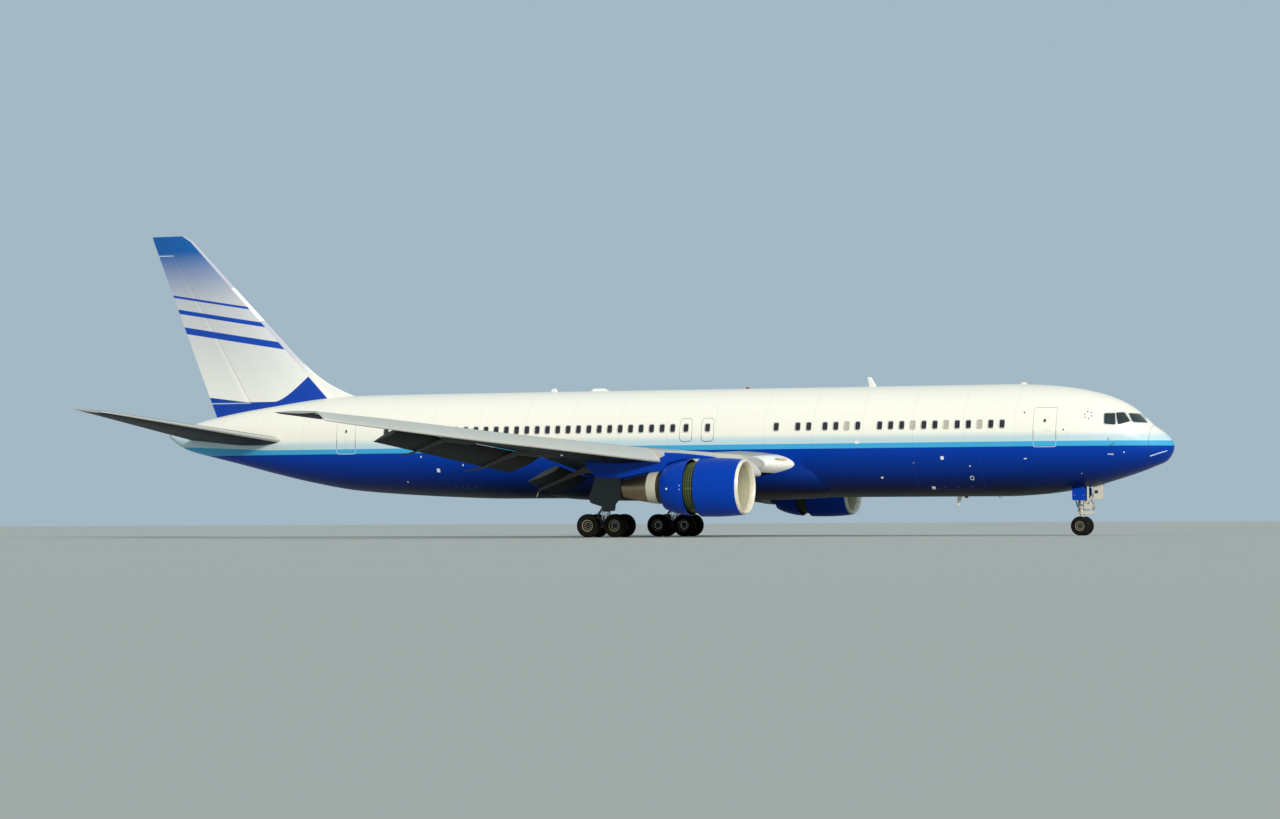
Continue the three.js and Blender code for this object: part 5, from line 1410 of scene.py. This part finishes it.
def make_main_gear():
    main = leg(MAIN_LEG_RODS, [], MAIN_LEG_AFT, -MAIN_LEG_LEFT)
    for end in (-1, 1):
        for side in (-1, 1):
            aft, up = MAIN_LEG_AFT + end * BOGIE_HALF, MAIN_WHEEL["radius"]
            ends = (at(aft, -MAIN_LEG_LEFT + side * BRAKE[key], up) for key in ("from", "to"))
            rod(main, *ends, BRAKE["radius"], slot=2)
    pair("main_gear_leg", main, "main_gear chrome dark", node="main_gear")

    door = plate(Shape(), rounded(LEG_DOOR, LEG_DOOR_CORNER), -LEG_DOOR_LEFT, DOOR_HALF)
    for up in LEG_DOOR_ARMS:
        ends = (at(MAIN_LEG_AFT, -left, up) for left in (MAIN_LEG_LEFT + 0.17, LEG_DOOR_LEFT))
        rod(door, *ends, 0.05, slot=1)
    pair("leg_door_skin", door, "door main_gear", node="leg_door")


# Small fittings. Blade antennas: [aft, top or bottom (1 or -1), length, height, lean back].
ANTENNAS = [
    (14.86, 1, 0.38, 0.46, 0.28), (7.2, 1, 0.34, 0.1, 0.1), (28.95, 1, 1.1, 0.13, 0.3),
    (31.8, 1, 0.4, 0.16, 0.1), (10.52, -1, 0.24, 0.44, 0.16),
]
BEACONS = [(21.6, 1), (10.32, -1)]
BEACON_RADIUS, BEACON_HEIGHT = 0.1, 0.09
PROBES = [(2.62, 3.85), (2.7, 4.6), (2.56, 4.33), (2.46, 4.4)]
PROBE = {"out": 0.1, "length": 0.14, "foot": 0.018, "tip": 0.012, "point": 0.008}
# Jack pads of the nose, (aft, radius, drop), and of a wing, (left, aft, radius, drop).
NOSE_PAD, WING_PAD = (8.6, 0.09, 0.06), (10.9, 27.0, 0.09, 0.06)
# Marks on the skin: [aft, up, half length, half height]; dark dots; raised lamps: [aft, up, radius].
SKIN_MARKS = [
    (10.78, 3.75, 0.08, 0.08), (9.43, 3.35, 0.03, 0.03), (37.43, 3.38, 0.09, 0.09),
    (36.01, 3.64, 0.03, 0.05), (38.3, 4.07, 0.03, 0.05), (39.38, 2.82, 0.035, 0.035),
    (6.65, 3.68, 0.07, 0.025), (2.62, 3.86, 0.13, 0.02), (12.24, 3.53, 0.02, 0.02),
    (4.09, 2.96, 0.02, 0.02), (2.02, 3.95, 0.03, 0.03),
]
SKIN_DOTS = [(5.68, 5.47), (6.71, 5.88), (4.78, 5.04)]
SKIN_LIGHTS = [(15.06, 4.54, 0.11), (13.96, 2.84, 0.06), (11.53, 2.33, 0.09)]
RING_MARK = (9.44, 2.78, 0.07)
RADOME_STRIP = [(0.92, 3.74), (0.21, 4.0), (0.21, 4.03), (0.92, 3.78)]
# Wing tip lights: how far left they start and end, their chord share and radius.
TIP_LIGHT = {"from": 23.64, "to": 23.76, "share": 0.05, "radius": 0.05}
# The lamp in the leading edge beside the fuselage: how far left, chord share, half sizes and lift.
ROOT_LAMP = {"left": 2.7, "share": 0.017, "half_left": 0.16, "half_share": 0.011, "lift": 0.006}


def make_fittings():
    blades, lamps, marks = Shape(), Shape(), Shape()
    loop = foil_loop(even)
    for aft, sign, length, height, lean in ANTENNAS:
        base = crown(aft, sign) - sign * 0.03
        rings = []
        for share in spread(0, 1, 6):
            chord, thick = length * (1 - 0.45 * share), 0.05 * (1 - 0.5 * share)
            up = base + sign * (height + 0.03) * share
            rings.append([at(aft + lean * share + s * chord, h * thick, up) for s, h in loop])
        blades.loft(rings)
    for aft, sign in BEACONS:
        rings = []
        for share in spread(0, 1, 8):
            radius = BEACON_RADIUS * sqrt(1 - 0.98 * share ** 2)
            up = crown(aft, sign) + sign * BEACON_HEIGHT * share
            rings.append([at(aft + radius * cos(t), radius * sin(t), up) for t in turns(24)])
        lamps.loft(rings)
    piece("blade_antennas", blades, "white")
    piece("beacon_lights", lamps, "red")

    def mark(kind, aft, up, half_long, half_tall, radius, slot=0):
        skin_patch(marks, oblong(aft, up, half_long, half_tall, radius, edge_steps=1), LIFTS[kind], slot)

    for spot in SKIN_MARKS:
        mark("mark", *spot, 0.02)
    for aft, up, radius in SKIN_LIGHTS:
        mark("light", aft, up, radius, radius * 0.6, radius * 0.55)
    aft, up, radius = RING_MARK
    skin_rim(marks, oblong(aft, up, radius, radius, radius * 0.9, edge_steps=1), *RIMS["ring"])
    skin_patch(marks, rounded(RADOME_STRIP, 0.012, edge_steps=10), LIFTS["strip"])
    for spot in SKIN_DOTS:
        mark("dot", *spot, 0.035, 0.04, 0.03, slot=1)
    for spot in STATIC_PORTS:
        mark("port", *spot, 0.03, 0.03, 0.025, slot=1)
    for spot in PROBES:
        foot, tip = on_skin(*spot), on_skin(*spot, PROBE["out"])
        rod(marks, foot, tip, PROBE["foot"], PROBE["tip"], 12, 1)
        rod(marks, tip, tip + FORWARD * PROBE["length"] * SCALE, PROBE["tip"], PROBE["point"], 12, 2)
    pair("skin_fittings", marks, "white trim chrome")


def make_jack_pads():
    aft, radius, drop = NOSE_PAD
    bottom = crown(aft, -1)
    pad = rod(Shape(), at(aft, 0, bottom - drop), at(aft, 0, bottom + 0.1), radius)
    piece("nose_jack_pad_boss", pad, "chrome")
    left, aft, radius, drop = WING_PAD
    foot = wing.skin(left, wing.share_at(left, aft), False) - UP * drop * SCALE
    pair("wing_jack_pad_boss", rod(Shape(), foot, foot + UP * 0.1, radius), "chrome")


def make_wing_lights():
    size = TIP_LIGHT
    start, end = (wing.point(size[key], size["share"], 0) for key in ("from", "to"))
    light = rod(Shape(), start, end, size["radius"], round_ends=0.5)
    piece("right_tip_light", light, "green")
    piece("left_tip_light", light.mirrored(), "red")

    size, rings = ROOT_LAMP, []
    for grow, lift in ((0.02, 1), (0.5, 1), (1, 1), (1, -1)):
        ring = []
        for turn in turns(32):
            left = size["left"] + size["half_left"] * grow * cos(turn)
            share = size["share"] + size["half_share"] * grow * sin(turn)
            ring.append(wing.skin(left, share) + (FORWARD + UP) * size["lift"] * lift * SCALE)
        rings.append(ring)
    pair("root_lamp", Shape().loft(rings), "lamp")


for make in (
    make_fuselage, make_belly, make_windows, make_doors, make_cockpit, make_wing, make_slats, make_flaps,
    make_tail, make_cowl, make_cascades, make_sleeve, make_core, make_fan, make_pylon, make_wheels,
    make_nose_gear, make_main_gear, make_fittings, make_jack_pads, make_wing_lights,
):
    make()


# Camera, light and floor, in the frame's metres.
CAMERA_AT = (38.104, -95.016, 0.40)
CAMERA_YAW, CAMERA_PITCH, CAMERA_ROLL = (radians(a) for a in (-21.822, 1.558, -0.251))
CAMERA_LENS = 115.04


def make_camera():
    flat = cos(CAMERA_PITCH)
    ahead = Vector((sin(CAMERA_YAW) * flat, cos(CAMERA_YAW) * flat, sin(CAMERA_PITCH)))
    camera = placed("camera", bpy.data.cameras.new("camera"))
    camera.data.lens = CAMERA_LENS
    camera.data.clip_end = 1000
    camera.location = CAMERA_AT
    camera.rotation_mode = "QUATERNION"
    camera.rotation_quaternion = ahead.to_track_quat("-Z", "Y") @ Quaternion((0, 0, 1), CAMERA_ROLL)
    bpy.context.scene.camera = camera


FLOOR_HALF = 400.0


def make_stage():
    look = Look("floor", rough=0.85)
    look.finish(srgb(184, 184, 176), stain=0.01, stain_scale=0.05, grain=4.0)
    corners = [(x, y, 0) for x, y in oblong_corners(-FLOOR_HALF, FLOOR_HALF, -FLOOR_HALF, FLOOR_HALF)]
    floor = placed("floor", Shape().add(corners, [[0, 1, 2, 3]]).mesh("floor"))
    floor.data.materials.append(look.material)

    world = bpy.data.worlds.new("sky")
    world.use_nodes = True
    background = world.node_tree.nodes["Background"]
    background.inputs["Color"].default_value = (*srgb(186, 210, 224), 1)
    background.inputs["Strength"].default_value = 0.75
    bpy.context.scene.world = world

    sun = placed("sun", bpy.data.lights.new("sun", "SUN"))
    sun.data.energy = 3.0
    sun.data.angle = radians(8)
    sun.data.color = (1.0, 0.95, 0.86)
    sun.rotation_mode = "QUATERNION"
    sun.rotation_quaternion = Vector(SUN_WAY).to_track_quat("-Z", "Y")


SUN_WAY = (-0.62, 0.68, -0.36)

make_camera()
make_stage()
bpy.context.scene.view_settings.view_transform = "Standard"
